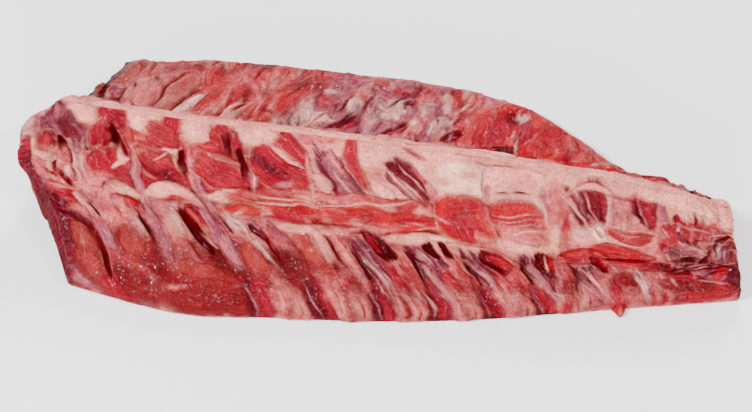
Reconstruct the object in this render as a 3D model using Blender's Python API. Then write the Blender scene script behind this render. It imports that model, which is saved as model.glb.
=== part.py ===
"""Raw rack of ribs: the rear half of a pig's backbone with short-cut ribs on both sides.

The piece lies with the crest of the backbone up.  +X runs from the shoulder end to the loin end,
the row of ribs shown to the viewer is on the -Y side, and the sawn vertebrae and both sawn rib
edges rest on the plane z = 0.  Sizes are in metres.
"""
import bpy
import numpy as np

# ---- driving dimensions -------------------------------------------------------------------------
LENGTH = 0.426                # along the crest, end to end
PITCH = 0.036                 # one vertebra with its pair of ribs
FIRST_RIB = 0.017             # the first rib's own line, from the shoulder end
BODY_HALF = 0.016             # half width of the flat underside of the vertebrae
EDGE_FLAT = 0.007             # width of the flat strip under each sawn rib edge
VAULT = 0.010                 # height of the hollow between the vertebrae and the rib edge
NO_VAULT_HALF = 0.020         # a side this narrow has no hollow under it

# widths and heights at evenly spaced stations from the shoulder end to the loin end
NEAR_HALF = (0.080, 0.0905, 0.0855, 0.079, 0.0695, 0.0575, 0.0455, 0.0335)
FAR_HALF = (0.081, 0.0915, 0.093, 0.093, 0.083, 0.059, 0.033, 0.0205)
CREST = (0.085, 0.080, 0.077, 0.0775, 0.0755, 0.0715, 0.066, 0.049)
SADDLE = (0.034, 0.0325, 0.0295, 0.028, 0.027, 0.027, 0.026, 0.023)   # height of the rib heads
SADDLE_HALF = (0.034, 0.034, 0.034, 0.033, 0.032, 0.031, 0.029, 0.0205)   # how far out they lie
FULL_SADDLE_HALF = 0.029      # where they lie closer in, the crest is slimmer too
SWEEP = (0.51, 0.56, 0.64, 0.73, 0.78, 0.78, 0.73, 0.60)   # backward slope of the ribs
EDGE = 0.013                  # thickness of the sawn rib edge

# relief on the upper side
SWELL_ENDS = 0.396            # the relief fades out from here to the loin end
RIB_SWELL = 0.0022            # each rib stands this much above and below the mean skin
HEAD_SWELL = 0.0028           # rib heads along the saddle
WAD_SWELL = 0.0022            # muscle wads on the flanks of the crest
CREST_SWELL = 0.0010          # tips of the spinous processes
WAD_SLANT = 0.030             # the wads lean towards the loin end on their way down

# share of the half girth, crest to edge, at which the named lines of a cross-section lie
CAP, SHOULDER, FLANK, FOOT, HEADS, RISE, SLOPE = 0.045, 0.105, 0.235, 0.395, 0.53, 0.67, 0.84
LINES = (0.0, CAP, SHOULDER, FLANK, FOOT, HEADS, RISE, SLOPE, 1.0)

# how far each of those lines stands back from the square cuts at the two ends: the crest does,
# the first vertebra's arch juts out on the near side, and the far flank is cut away
NEAR_SHOULDER_BACK = (0.017, 0.013, 0.003, -0.004, -0.006, 0.0, 0.003, 0.003, 0.0)
FAR_SHOULDER_BACK = (0.017, 0.021, 0.025, 0.026, 0.026, 0.022, 0.014, 0.008, 0.004)
NEAR_LOIN_BACK = (0.004, 0.003, 0.001, -0.003, -0.005, -0.004, -0.003, -0.001, 0.0)
FAR_LOIN_BACK = (0.004, 0.005, 0.008, 0.014, 0.018, 0.018, 0.014, 0.010, 0.008)

# grid of the solid: cells along, across and through
ALONG, ACROSS, THROUGH = 60, 28, 3


def smooth_through(knots, values, at):
    """Cubic curve through values[k] at knots[k]; values may hold one array per knot."""
    knots = np.asarray(knots, float)
    values = np.stack([np.broadcast_to(v, np.shape(at)) for v in values])
    slope = np.gradient(values, knots, axis=0)
    k = np.clip(np.searchsorted(knots, at) - 1, 0, len(knots) - 2)
    gap = knots[k + 1] - knots[k]
    t = np.clip((at - knots[k]) / gap, 0, 1)

    def pick(table, index):
        return np.take_along_axis(table, index[None], 0)[0]

    start, end = pick(values, k), pick(values, k + 1)
    leave, arrive = pick(slope, k) * gap, pick(slope, k + 1) * gap
    return ((2 * t**3 - 3 * t**2 + 1) * start + (t**3 - 2 * t**2 + t) * leave
            + (3 * t**2 - 2 * t**3) * end + (t**3 - t**2) * arrive)


def station(values, s):
    """A width or height of the rack at distance s from the shoulder end."""
    return smooth_through(np.linspace(0, LENGTH, len(values)), values, np.clip(s, 0, LENGTH))


def window(x, low, high, soft):
    """1 between low and high, falling smoothly to 0 over the width soft outside them."""
    rise = np.clip((x - low) / soft + 1, 0, 1)
    fall = np.clip((high - x) / soft + 1, 0, 1)
    return rise**2 * (3 - 2 * rise) * fall**2 * (3 - 2 * fall)


def along(u, v):
    """Distance from the shoulder end at u (0..1), set back near both ends."""
    girth = np.abs(v)
    near_side, far_side = ([smooth_through(LINES, back, girth) for back in pair] for pair in
                           ((NEAR_SHOULDER_BACK, NEAR_LOIN_BACK), (FAR_SHOULDER_BACK, FAR_LOIN_BACK)))
    shoulder, loin = np.where(v < 0, near_side, far_side)
    return u * LENGTH + shoulder * np.clip(1 - 6 * u, 0, 1)**2 - loin * np.clip(6 * u - 5, 0, 1)**2


def half_width(s, v):
    """Distance from the backbone's middle to the sawn edge of the ribs on v's side."""
    return np.where(v < 0, station(NEAR_HALF, s), station(FAR_HALF, s))


def swept(s, y):
    """The ribs slope back from the rib heads outwards."""
    return s + station(SWEEP, s) * np.maximum(y - 0.6 * station(SADDLE_HALF, s), 0)


def top_line(u, v):
    """The smooth upper skin at u along (0..1) and v across (-1 near edge, 0 crest, 1 far edge)."""
    girth = np.abs(v)
    s = along(u, v)
    half = half_width(s, v)
    crest, saddle, out = station(CREST, s), station(SADDLE, s), station(SADDLE_HALF, s)
    wing, drop = half - out, saddle - EDGE
    slim = np.minimum(out / FULL_SADDLE_HALF, 1)
    y = smooth_through(LINES, (0 * s, 0.005 * slim, 0.009 * slim, 0.014 * slim, 0.021 * slim, out,
                               out + 0.3 * wing, out + 0.65 * wing, half), girth)
    z = smooth_through(LINES, (crest, crest - 0.0015, crest - 0.008, 0.5 * (crest + saddle) + 0.002,
                               saddle + 0.009, saddle, saddle - 0.12 * drop, saddle - 0.5 * drop,
                               EDGE + 0 * s), girth)
    return s, np.stack([swept(s, y), np.sign(v) * y, z], -1)


def swell(s, v):
    """Relief of ribs, rib heads, muscle wads and crest tips along the skin's outward normal."""
    girth = np.abs(v)
    phase = 2 * np.pi * (s - FIRST_RIB) / PITCH
    lean = 2 * np.pi * WAD_SLANT * (girth - FLANK) / PITCH
    ribs = RIB_SWELL * np.cos(phase) * window(girth, RISE, 2, 0.10)
    heads = HEAD_SWELL * np.cos(phase) * window(girth, HEADS - 0.03, HEADS + 0.03, 0.08)
    wads = WAD_SWELL * np.cos(phase + np.pi - lean) * window(girth, FLANK - 0.02, FOOT, 0.08)
    tips = CREST_SWELL * np.cos(phase) * window(girth, -1, CAP, 0.05)
    return (ribs + heads + wads + tips) * window(s, -1, SWELL_ENDS, LENGTH - SWELL_ENDS)


def skin(u, v):
    """The upper skin with its relief."""
    step = 1e-4
    s, middle = top_line(u, v)
    lengthwise = top_line(u + step, v)[1] - top_line(u - step, v)[1]
    crosswise = top_line(u, v + step)[1] - top_line(u, v - step)[1]
    normal = np.cross(lengthwise, crosswise)
    normal /= np.linalg.norm(normal, axis=-1, keepdims=True)
    return middle + normal * swell(s, v)[..., None]


def underside(u, v):
    """The lower skin: flat under the vertebrae and the sawn edge, and vaulted between them."""
    s = u * LENGTH
    half = half_width(s, v)
    reach = np.abs(top_line(u, v)[1][..., 1])
    span = np.clip((reach - BODY_HALF) / np.maximum(half - EDGE_FLAT - BODY_HALF, 1e-6), 0, 1)
    room = np.clip((half - NO_VAULT_HALF) / (2 * NO_VAULT_HALF), 0, 1)
    z = VAULT * room * np.sin(np.pi * span)**0.8
    return np.stack([swept(s, reach), np.sign(v) * reach, z], -1)


def rack(u, v, w):
    """A point of the solid: w runs from the underside (0) to the upper skin (1)."""
    low = underside(u, v)
    return low + (skin(u, v) - low) * w[..., None]


def box_shell(along, across, through):
    """Corners and quads of the six gridded faces of a box, welded, with the faces outward."""
    sizes = np.array([along, across, through])
    quads = []
    for axis in range(3):
        a, b = (axis + 1) % 3, (axis + 2) % 3
        i, j = np.meshgrid(np.arange(sizes[a]), np.arange(sizes[b]), indexing="ij")
        for level in (0, sizes[axis]):
            corners = np.zeros((i.size, 4, 3), int)
            turn = ((0, 0), (1, 0), (1, 1), (0, 1)) if level else ((0, 0), (0, 1), (1, 1), (1, 0))
            for c, (di, dj) in enumerate(turn):
                corners[:, c, a] = i.ravel() + di
                corners[:, c, b] = j.ravel() + dj
                corners[:, c, axis] = level
            quads.append(corners)
    quads = np.concatenate(quads)
    corners, index = np.unique(quads.reshape(-1, 3), axis=0, return_inverse=True)
    return corners / sizes, index.reshape(-1, 4)


def girth_spacing(t):
    """Cells across are closer together on the crest than on the ribs."""
    v = 2 * t - 1
    return np.sign(v) * (0.55 * np.abs(v) + 0.45 * np.abs(v)**2)


def raw_meat():
    """Fresh red pork with a wet surface."""
    material = bpy.data.materials.new("raw_pork")
    material.use_nodes = True
    shader = material.node_tree.nodes["Principled BSDF"]
    shader.inputs["Base Color"].default_value = (0.42, 0.075, 0.06, 1)
    shader.inputs["Roughness"].default_value = 0.35
    shader.inputs["Metallic"].default_value = 0.0
    return material


def build():
    for item in list(bpy.data.objects):
        bpy.data.objects.remove(item, do_unlink=True)
    collection = bpy.data.collections.new("raw_rack_of_ribs")
    bpy.context.scene.collection.children.link(collection)

    corners, quads = box_shell(ALONG, ACROSS, THROUGH)
    points = rack(corners[:, 0], girth_spacing(corners[:, 1]), corners[:, 2])
    middle = 0.5 * (points.min(0) + points.max(0))
    points -= (middle[0], middle[1], 0)

    mesh = bpy.data.meshes.new("rack")
    mesh.from_pydata(points.tolist(), [], quads.tolist())
    mesh.materials.append(raw_meat())
    mesh.shade_smooth()
    collection.objects.link(bpy.data.objects.new("rack", mesh))


build()
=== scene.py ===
# %% [markdown]
# # A raw rack of pork ribs
# The rack is half a pig's backbone with a row of ribs, cut short, on each side.  It lies crest up.
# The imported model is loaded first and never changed: it says where the meat is and how big.
# Everything below dresses that one solid.
# %% Load the frame
import bpy
import numpy as np
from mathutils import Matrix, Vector


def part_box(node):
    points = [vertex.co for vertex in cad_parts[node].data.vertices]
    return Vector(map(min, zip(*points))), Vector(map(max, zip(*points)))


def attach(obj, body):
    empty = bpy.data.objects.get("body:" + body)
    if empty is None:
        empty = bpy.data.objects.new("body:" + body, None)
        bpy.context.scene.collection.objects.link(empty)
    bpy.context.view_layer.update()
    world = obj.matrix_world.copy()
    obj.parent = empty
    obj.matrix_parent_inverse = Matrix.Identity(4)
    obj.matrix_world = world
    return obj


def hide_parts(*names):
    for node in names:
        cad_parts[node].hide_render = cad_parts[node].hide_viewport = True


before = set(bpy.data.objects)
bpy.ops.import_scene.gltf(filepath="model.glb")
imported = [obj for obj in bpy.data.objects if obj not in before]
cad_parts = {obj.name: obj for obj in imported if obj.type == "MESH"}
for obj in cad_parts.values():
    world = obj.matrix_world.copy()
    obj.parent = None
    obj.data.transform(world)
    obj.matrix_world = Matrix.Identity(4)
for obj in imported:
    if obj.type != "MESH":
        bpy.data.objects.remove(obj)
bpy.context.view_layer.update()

low, high = (np.array(corner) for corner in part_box("rack"))
print("rack from", low.round(3), "to", high.round(3))

# %% [markdown]
# ## The form under the meat
# A butcher's piece could be sculpted, but then nothing else could be placed on it by measure.
# Here the form is a formula.  Heights and widths are named at a few stations along the backbone,
# a smooth curve runs through them, and each cross-section goes from the crest (girth share 0)
# down the flank and over the rib heads to the sawn ends of the ribs (girth share 1).
# %% Sizes of the form
LENGTH = 0.426                # along the crest
PITCH = 0.036                 # one vertebra with its pair of ribs
FIRST_RIB = 0.017             # middle of the first rib, from the shoulder end
BODY_HALF = 0.016             # half width of the flat underside of the vertebrae
EDGE_FLAT = 0.007             # flat strip of the underside along the rib ends
VAULT = 0.010                 # greatest height of the hollow under the ribs
NO_VAULT_HALF = 0.020         # a half this narrow has no hollow
# at eight stations from the shoulder end to the loin end: how far out the near and the far rib ends
# lie, height of the crest, height and distance of the rib heads, and how far the ribs lean back
NEAR_HALF = (0.080, 0.0905, 0.0855, 0.079, 0.0695, 0.0575, 0.0455, 0.0335)
FAR_HALF = (0.081, 0.0915, 0.093, 0.093, 0.083, 0.059, 0.033, 0.0205)
CREST = (0.085, 0.080, 0.077, 0.0775, 0.0755, 0.0715, 0.066, 0.049)
SADDLE = (0.034, 0.0325, 0.0295, 0.028, 0.027, 0.027, 0.026, 0.023)
SADDLE_HALF = (0.034, 0.034, 0.034, 0.033, 0.032, 0.031, 0.029, 0.0205)
SWEEP = (0.51, 0.56, 0.64, 0.73, 0.78, 0.78, 0.73, 0.60)
FULL_SADDLE_HALF = 0.029      # where the rib heads lie nearer than this, the flank is slimmer too
EDGE = 0.013                  # thickness of the sawn rib edge
# girth shares of the lines that a cross-section runs through, from the crest outwards
CAP, SHOULDER, FLANK, FOOT, HEADS, RISE, SLOPE = 0.045, 0.105, 0.235, 0.395, 0.53, 0.67, 0.84
LINES = (0.0, CAP, SHOULDER, FLANK, FOOT, HEADS, RISE, SLOPE, 1.0)
# how far each of those lines stands back from a square cut at the shoulder end and the loin end
NEAR_SHOULDER_BACK = (0.017, 0.013, 0.003, -0.004, -0.006, 0.0, 0.003, 0.003, 0.0)
FAR_SHOULDER_BACK = (0.017, 0.021, 0.025, 0.026, 0.026, 0.022, 0.014, 0.008, 0.004)
NEAR_LOIN_BACK = (0.004, 0.003, 0.001, -0.003, -0.005, -0.004, -0.003, -0.001, 0.0)
FAR_LOIN_BACK = (0.004, 0.005, 0.008, 0.014, 0.018, 0.018, 0.014, 0.010, 0.008)
GIRTH = 0.118                 # crest to sawn edge, measured over the skin at the shoulder
print("about", round(LENGTH / PITCH), "pairs of ribs along", LENGTH, "m")


# %% Curves through stations
def smooth_through(knots, values, at):
    """Cubic curve through values[k] at knots[k], with the slopes taken from the neighbours."""
    knots = np.asarray(knots, float)
    values = np.stack([np.broadcast_to(v, np.shape(at)) for v in values])
    slope = np.gradient(values, knots, axis=0)
    k = np.clip(np.searchsorted(knots, at) - 1, 0, len(knots) - 2)
    gap = knots[k + 1] - knots[k]
    t = np.clip((at - knots[k]) / gap, 0, 1)

    def pick(table, index):
        return np.take_along_axis(table, index[None], 0)[0]

    start, end = pick(values, k), pick(values, k + 1)
    leave, arrive = pick(slope, k) * gap, pick(slope, k + 1) * gap
    return ((2 * t**3 - 3 * t**2 + 1) * start + (t**3 - 2 * t**2 + t) * leave
            + (3 * t**2 - 2 * t**3) * end + (t**3 - t**2) * arrive)


def station(values, s):
    """A width or height of the rack at distance s from the shoulder end."""
    return smooth_through(np.linspace(0, LENGTH, len(values)), values, np.clip(s, 0, LENGTH))


def step_up(x, low_end, high_end):
    """0 below low_end, 1 above high_end, and an S-curve between."""
    t = np.clip((x - low_end) / (high_end - low_end), 0, 1)
    return t * t * (3 - 2 * t)


def window(x, low_end, high_end, soft):
    """1 between the two ends, falling smoothly to 0 over the width soft outside them."""
    return step_up(x, low_end - soft, low_end) * (1 - step_up(x, high_end, high_end + soft))


print("crest halfway along:", round(float(station(CREST, LENGTH / 2)), 4), "m high")


# %% The solid as a function
def along(u, v):
    """Distance from the shoulder end at u: u times the length, set back near both ends."""
    girth = np.abs(v)
    pairs = (NEAR_SHOULDER_BACK, NEAR_LOIN_BACK), (FAR_SHOULDER_BACK, FAR_LOIN_BACK)
    near_side, far_side = ([smooth_through(LINES, back, girth) for back in pair] for pair in pairs)
    shoulder, loin = np.where(v < 0, near_side, far_side)
    return u * LENGTH + shoulder * np.clip(1 - 6 * u, 0, 1)**2 - loin * np.clip(6 * u - 5, 0, 1)**2


def half_width(s, v):
    """Distance from the backbone's middle to the sawn ends of the ribs, on v's side."""
    return np.where(v < 0, station(NEAR_HALF, s), station(FAR_HALF, s))


def swept(s, y):
    """The ribs slope back towards the loin from the rib heads outwards."""
    return s + station(SWEEP, s) * np.maximum(y - 0.6 * station(SADDLE_HALF, s), 0)


def top_line(u, v):
    """Upper skin: u runs along (0 to 1), v across (-1 near edge, 0 crest, 1 far edge).  A smooth
    curve runs through the named lines: down the flank to the rib heads and out along the wing."""
    girth = np.abs(v)
    s = along(u, v)
    half = half_width(s, v)
    crest, saddle, out = station(CREST, s), station(SADDLE, s), station(SADDLE_HALF, s)
    wing, drop = half - out, saddle - EDGE
    slim = np.minimum(out / FULL_SADDLE_HALF, 1)
    y = smooth_through(LINES, (0 * s, 0.005 * slim, 0.009 * slim, 0.014 * slim, 0.021 * slim, out,
                               out + 0.3 * wing, out + 0.65 * wing, half), girth)
    z = smooth_through(LINES, (crest, crest - 0.0015, crest - 0.008, 0.5 * (crest + saddle) + 0.002,
                               saddle + 0.009, saddle, saddle - 0.12 * drop, saddle - 0.5 * drop,
                               EDGE + 0 * s), girth)
    return np.stack([swept(s, y), np.sign(v) * y, z], -1)


def underside(u, v):
    """Lower skin: flat under the vertebrae and the sawn edge, between them an arch, which is the
    height of the hollow times a power of a half sine wave."""
    s = u * LENGTH
    half = half_width(s, v)
    reach = np.abs(top_line(u, v)[..., 1])
    span = np.clip((reach - BODY_HALF) / np.maximum(half - EDGE_FLAT - BODY_HALF, 1e-6), 0, 1)
    room = np.clip((half - NO_VAULT_HALF) / (2 * NO_VAULT_HALF), 0, 1)
    z = VAULT * room * np.sin(np.pi * span)**0.8
    return np.stack([swept(s, reach), np.sign(v) * reach, z], -1)


def form(u, v, w):
    """The form before it is placed: w runs from the underside (0) to the upper skin (1)."""
    bottom = underside(u, v)
    return bottom + (top_line(u, v) - bottom) * w[..., None]


# the CAD solid is centred on its own box, so the form is moved to the middle of that box
rough = form(*np.meshgrid(np.linspace(0, 1, 90), np.linspace(-1, 1, 61), np.linspace(0, 1, 3)))
rough = rough.reshape(-1, 3)
SHIFT = (0.5 * (low + high) - 0.5 * (rough.min(0) + rough.max(0))) * (1, 1, 0)
print("form moved by", SHIFT.round(4), "m")


def solid(u, v, w):
    """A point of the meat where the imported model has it."""
    return form(u, v, w) + SHIFT


# %% [markdown]
# ## Irregularity
# Nothing in meat is straight or even.  A picture of noise could be used, but a few lines of value
# noise do the same from a seed: random heights on a square lattice, joined by S-curves, and the
# same again at half the size and half the strength.
# %% Value noise
def lattice(x, y, seed):
    """Smooth noise from -1 to 1: hashed heights at whole numbers, joined by quintic S-curves."""
    xi, yi = np.floor(x).astype(np.int64), np.floor(y).astype(np.int64)
    fx, fy = x - xi, y - yi
    fx, fy = (f**3 * (f * (6 * f - 15) + 10) for f in (fx, fy))

    def height(a, b):
        n = (a * 374761393 + b * 668265263 + seed * 974634777) & 0xFFFFFFFF
        n = ((n ^ (n >> 13)) * 1274126177) & 0xFFFFFFFF
        return ((n ^ (n >> 16)) & 0xFFFF) / 32767.5 - 1

    near_row = height(xi, yi) * (1 - fx) + height(xi + 1, yi) * fx
    far_row = height(xi, yi + 1) * (1 - fx) + height(xi + 1, yi + 1) * fx
    return near_row * (1 - fy) + far_row * fy


def cloud(x, y, size, seed, octaves=2):
    """Noise with lumps of the given size, and finer lumps of half the strength on them."""
    total, weight = 0, 1.0
    for octave in range(octaves):
        total = total + weight * lattice(x / size + 17.3 * octave, y / size, seed + octave)
        size, weight = size / 2, weight / 2
    return total / (2 - 2 * weight)


print("noise at four places:", cloud(np.arange(4.0), np.zeros(4), 1.7, 1).round(2))

# %% [markdown]
# ## A map of the meat
# A butcher would describe the piece by walking along it: so far from the shoulder end, so far down
# from the crest.  Those two distances make a flat map, in millimetres.  Every wad of muscle, strip
# of fat, slit and rib is an oval on that map with a length, a width, a lean and a height, and the
# ovals are painted one over the other.  Each one changes the colour and the relief together, so
# fat stands proud of the muscle it covers and a slit is dark because it is deep.
# %% Finishes of fresh pork
# name: (flesh, its streaks, how streaked, how veined); the colours are as lit from all sides
FINISHES = {
    "crimson": ("#7E0319", "#B42C3D", 0.65, 0.0),     # lean muscle, freshly cut
    "scarlet": ("#950414", "#BD1725", 0.50, 0.0),     # long muscle along the rib heads
    "salmon": ("#8D1A22", "#B9393C", 0.55, 0.1),      # muscle under thin white skin
    "maroon": ("#4A0310", "#721C2C", 0.70, 0.0),      # muscle in shade or between ribs
    "plum": ("#511223", "#8A4253", 0.90, 0.0),        # muscle under lilac skin
    "pit": ("#3D0104", "#59030C", 0.60, 0.0),         # near-black red: blood in pits and slits, deepened by painted shade there
    "orange": ("#7E2220", "#92302C", 0.30, 0.0),      # thin red skin over rib bone
    "brick": ("#5B090E", "#701317", 0.30, 0.0),       # the same, redder
    "veil": ("#7E2B30", "#A24340", 0.50, 0.4),        # pink skin over bone
    "pink": ("#AF464A", "#DD6C61", 0.60, 0.8),        # fat stained by blood
    "cream": ("#E08B7A", "#F6BEA3", 0.60, 1.0),       # fat
    "ivory": ("#F4B69D", "#FFDDC7", 0.50, 0.5),       # sinew and dry fat
    "lilac": ("#833A49", "#BC6872", 0.80, 0.3),       # skin of the ribs
    "grey": ("#B6807A", "#EBB7AE", 0.70, 0.6),        # cartilage
    "bone": ("#9E514E", "#C86E62", 0.50, 0.4),        # sawn rib
}
WET_AND_DARK = ("crimson", "scarlet", "maroon", "plum", "pit")
FASCIA = "#E8907E"            # the pale skin that wraps a muscle
print(len(FINISHES), "finishes")


def srgb(code):
    """sRGB hex to linear RGBA."""
    parts = [int(code[i:i + 2], 16) / 255 for i in (1, 3, 5)]
    return tuple(c / 12.92 if c <= 0.04045 else ((c + 0.055) / 1.055)**2.4 for c in parts) + (1.0,)


def finish_colours(finish, shade):
    """Flesh and streak colours; their fourth numbers are how veined and how streaked."""
    flesh, streak, streaky, veined = FINISHES[finish]
    flesh, streak = (np.array(srgb(code)) * shade for code in (flesh, streak))
    flesh[3], streak[3] = veined, streaky
    return flesh, streak


# %% Ovals on the map
class Map:
    """Colour, relief and fibre direction at every point of a piece, on the map of the meat."""

    def __init__(self, s, t, seed, ground="pink"):
        self.seed, self.count = seed, 0
        s, t = s * 1000, t * 1000
        self.blur = np.clip(1 + 1.1 * cloud(s, t, 11, seed + 7), 0.35, 2)
        self.s = s + 2.2 * cloud(s, t, 16, seed) + 0.6 * cloud(s, t, 5, seed + 3)
        self.t = t + 2.2 * cloud(s, t, 16, seed + 9) + 0.6 * cloud(s, t, 5, seed + 5)
        flesh, streak = finish_colours(ground, 1)
        self.flesh, self.streak = np.tile(flesh, (s.size, 1)), np.tile(streak, (s.size, 1))
        self.relief, self.grain = np.zeros(s.size), np.zeros(s.size)

    def paint(self, finish, s, t, length, width, lean=0, height=0, soft=1.0, power=2.3, torn=0.7,
              bend=0.0, taper=0.0, fascia=0.0, crease=0.0, peak=0.5):
        """One oval.  On its own axes a and b it covers |a|^p + |b|^p < 1; noise along b tears its
        ends, bend arches them down, taper narrows the far one; soft is its edge in mm, fascia a
        pale skin along its outline and crease a groove around it; a high peak makes a cone."""
        self.count += 1
        # the points near enough to be touched, and their places on the oval's own axes
        reach = 0.62 * max(length, width) + 2 * soft + abs(bend) + 4
        here = np.flatnonzero((np.abs(self.s - s) < reach) & (np.abs(self.t - t) < reach))
        angle = np.radians(lean)
        ds, dt = self.s[here] - s, self.t[here] - t
        a = ds * np.cos(angle) + dt * np.sin(angle)
        b = dt * np.cos(angle) - ds * np.sin(angle) - bend * (a / (length / 2))**2
        a = a + torn * (1.3 * lattice(b / 1.2, a / 12, self.seed + self.count)
                        + 2.0 * lattice(b / 3.4, a / 20, self.seed - self.count))
        # far is 1 on the outline, and past is the distance beyond it in mm
        wide = np.maximum(width / 2 * (1 - taper * a / (length / 2)), 0.6)
        far = (np.abs(2 * a / length)**power + np.abs(b / wide)**power)**(1 / power)
        radius = min(length, width) / 2
        rim = soft * self.blur[here] / radius
        cover = 1 - step_up(far, 1 - rim, 1 + rim)
        past = (far - 1) * radius
        # wet dark muscle stains what lies just outside its outline
        if finish in WET_AND_DARK and soft < 2:
            cover = np.maximum(cover, 0.3 * np.exp(-np.maximum(past, 0) / 1.6) * (past < 6))
        # each oval is a little lighter or darker than the one before
        shade = 1 + 0.12 * np.sin(2.4 * self.count)
        for layer, colour in zip((self.flesh, self.streak), finish_colours(finish, shade)):
            layer[here] += (colour - layer[here]) * cover[:, None]
        self.grain[here] = np.where(cover > 0.5, angle, self.grain[here])
        if fascia:
            pale = fascia * np.exp(-((past - 0.6) / 0.7)**2)
            self.flesh[here] += (np.array(srgb(FASCIA)) - self.flesh[here]) * pale[:, None]
        # hollows are bowls; what stands proud is a fuller dome that ends at the outline
        bowl = np.clip(1.1 - far**2, 0, 1)
        dome = bowl if height < 0 else bowl**peak * (1 - step_up(far, 0.86, 1.06))
        self.relief[here] += height * dome - crease * np.exp(-((past - 0.5) / 0.9)**2)

    def paint_all(self, rows):
        """Rows are (finish, s, t, length, width, lean, height, options); the last ones may lack."""
        for row in rows:
            plain = [item for item in row if not isinstance(item, dict)]
            self.paint(*plain, **(row[-1] if isinstance(row[-1], dict) else {}))

    def fibre(self):
        """Place along and across the fibres in metres, a little wavy."""
        along = self.s * np.cos(self.grain) + self.t * np.sin(self.grain)
        across = self.t * np.cos(self.grain) - self.s * np.sin(self.grain)
        across = across + 1.2 * cloud(self.s, self.t, 13, 5)
        return np.stack([along, across, 0 * along + self.seed], -1) / 1000


def scattered(seed, count, finishes, s_range, t_range, lean, length, width, height=0, **options):
    """Rows for small ovals at random places; lean is a mean and a spread, the other pairs ranges."""
    dice = np.random.default_rng(seed)
    return [(finishes[dice.integers(len(finishes))], dice.uniform(*s_range), dice.uniform(*t_range),
             dice.uniform(*length), dice.uniform(*width), dice.normal(*lean), height, options)
            for _ in range(count)]


# %% [markdown]
# ## What lies where
# From here on the rows are the butcher's own description, zone by zone.  Each row says: finish,
# place along, place down from the crest, length, width, lean and height of one oval, and then of
# what kind it is.  Meat doesn't repeat, so most rows are listed one by one; later rows lie on top.
# %% Kinds of oval
# the kinds of oval: how soft, torn and square the outline is, and the groove or pale skin around it
WAD = dict(fascia=0.25, crease=0.3, soft=0.9, torn=1.0)   # muscle in its silvery skin
HOOD = dict(soft=1.2, power=2, torn=1.2, crease=0.15)     # muscle that runs up onto the crest
SHEET = dict(crease=0.5, soft=1.6, torn=0.5, power=3)     # a squarish pad of muscle
GLAZE = dict(soft=3.5, torn=1.5)                          # bare muscle showing through skin
FATTY = dict(crease=0.3, soft=0.9)                        # a knob of fat
LOBE = dict(soft=1.8, power=2, torn=1.6, crease=0.1)      # fat that laps over muscle
THIN = dict(torn=1.6, power=2, soft=0.4)                  # a thread of sinew or fat
RIB_SKIN = dict(soft=2.4, torn=1.6)                       # skin drawn over a rib
SLOT = dict(soft=0.8)                                     # a slit or pit with a sharp edge
EDGED, EVEN, MILD = dict(soft=1.6), dict(soft=2), dict(soft=3)   # even outlines, softer and softer
BULGE = dict(soft=5)                                      # a bulge without an outline
GROUND = dict(soft=5, power=4)                            # a broad, squarish ground colour
SOFT = dict(soft=4.0, torn=1.2)                           # a tint that fades out
TORN, RAGGED = dict(torn=2), dict(torn=2.5)               # ragged outlines
DRAWN, FRAYED = dict(soft=1.6, torn=2), dict(soft=2, torn=2)     # ragged and soft ones
MAP_END = 426                                             # the loin end on the map, in mm

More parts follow.
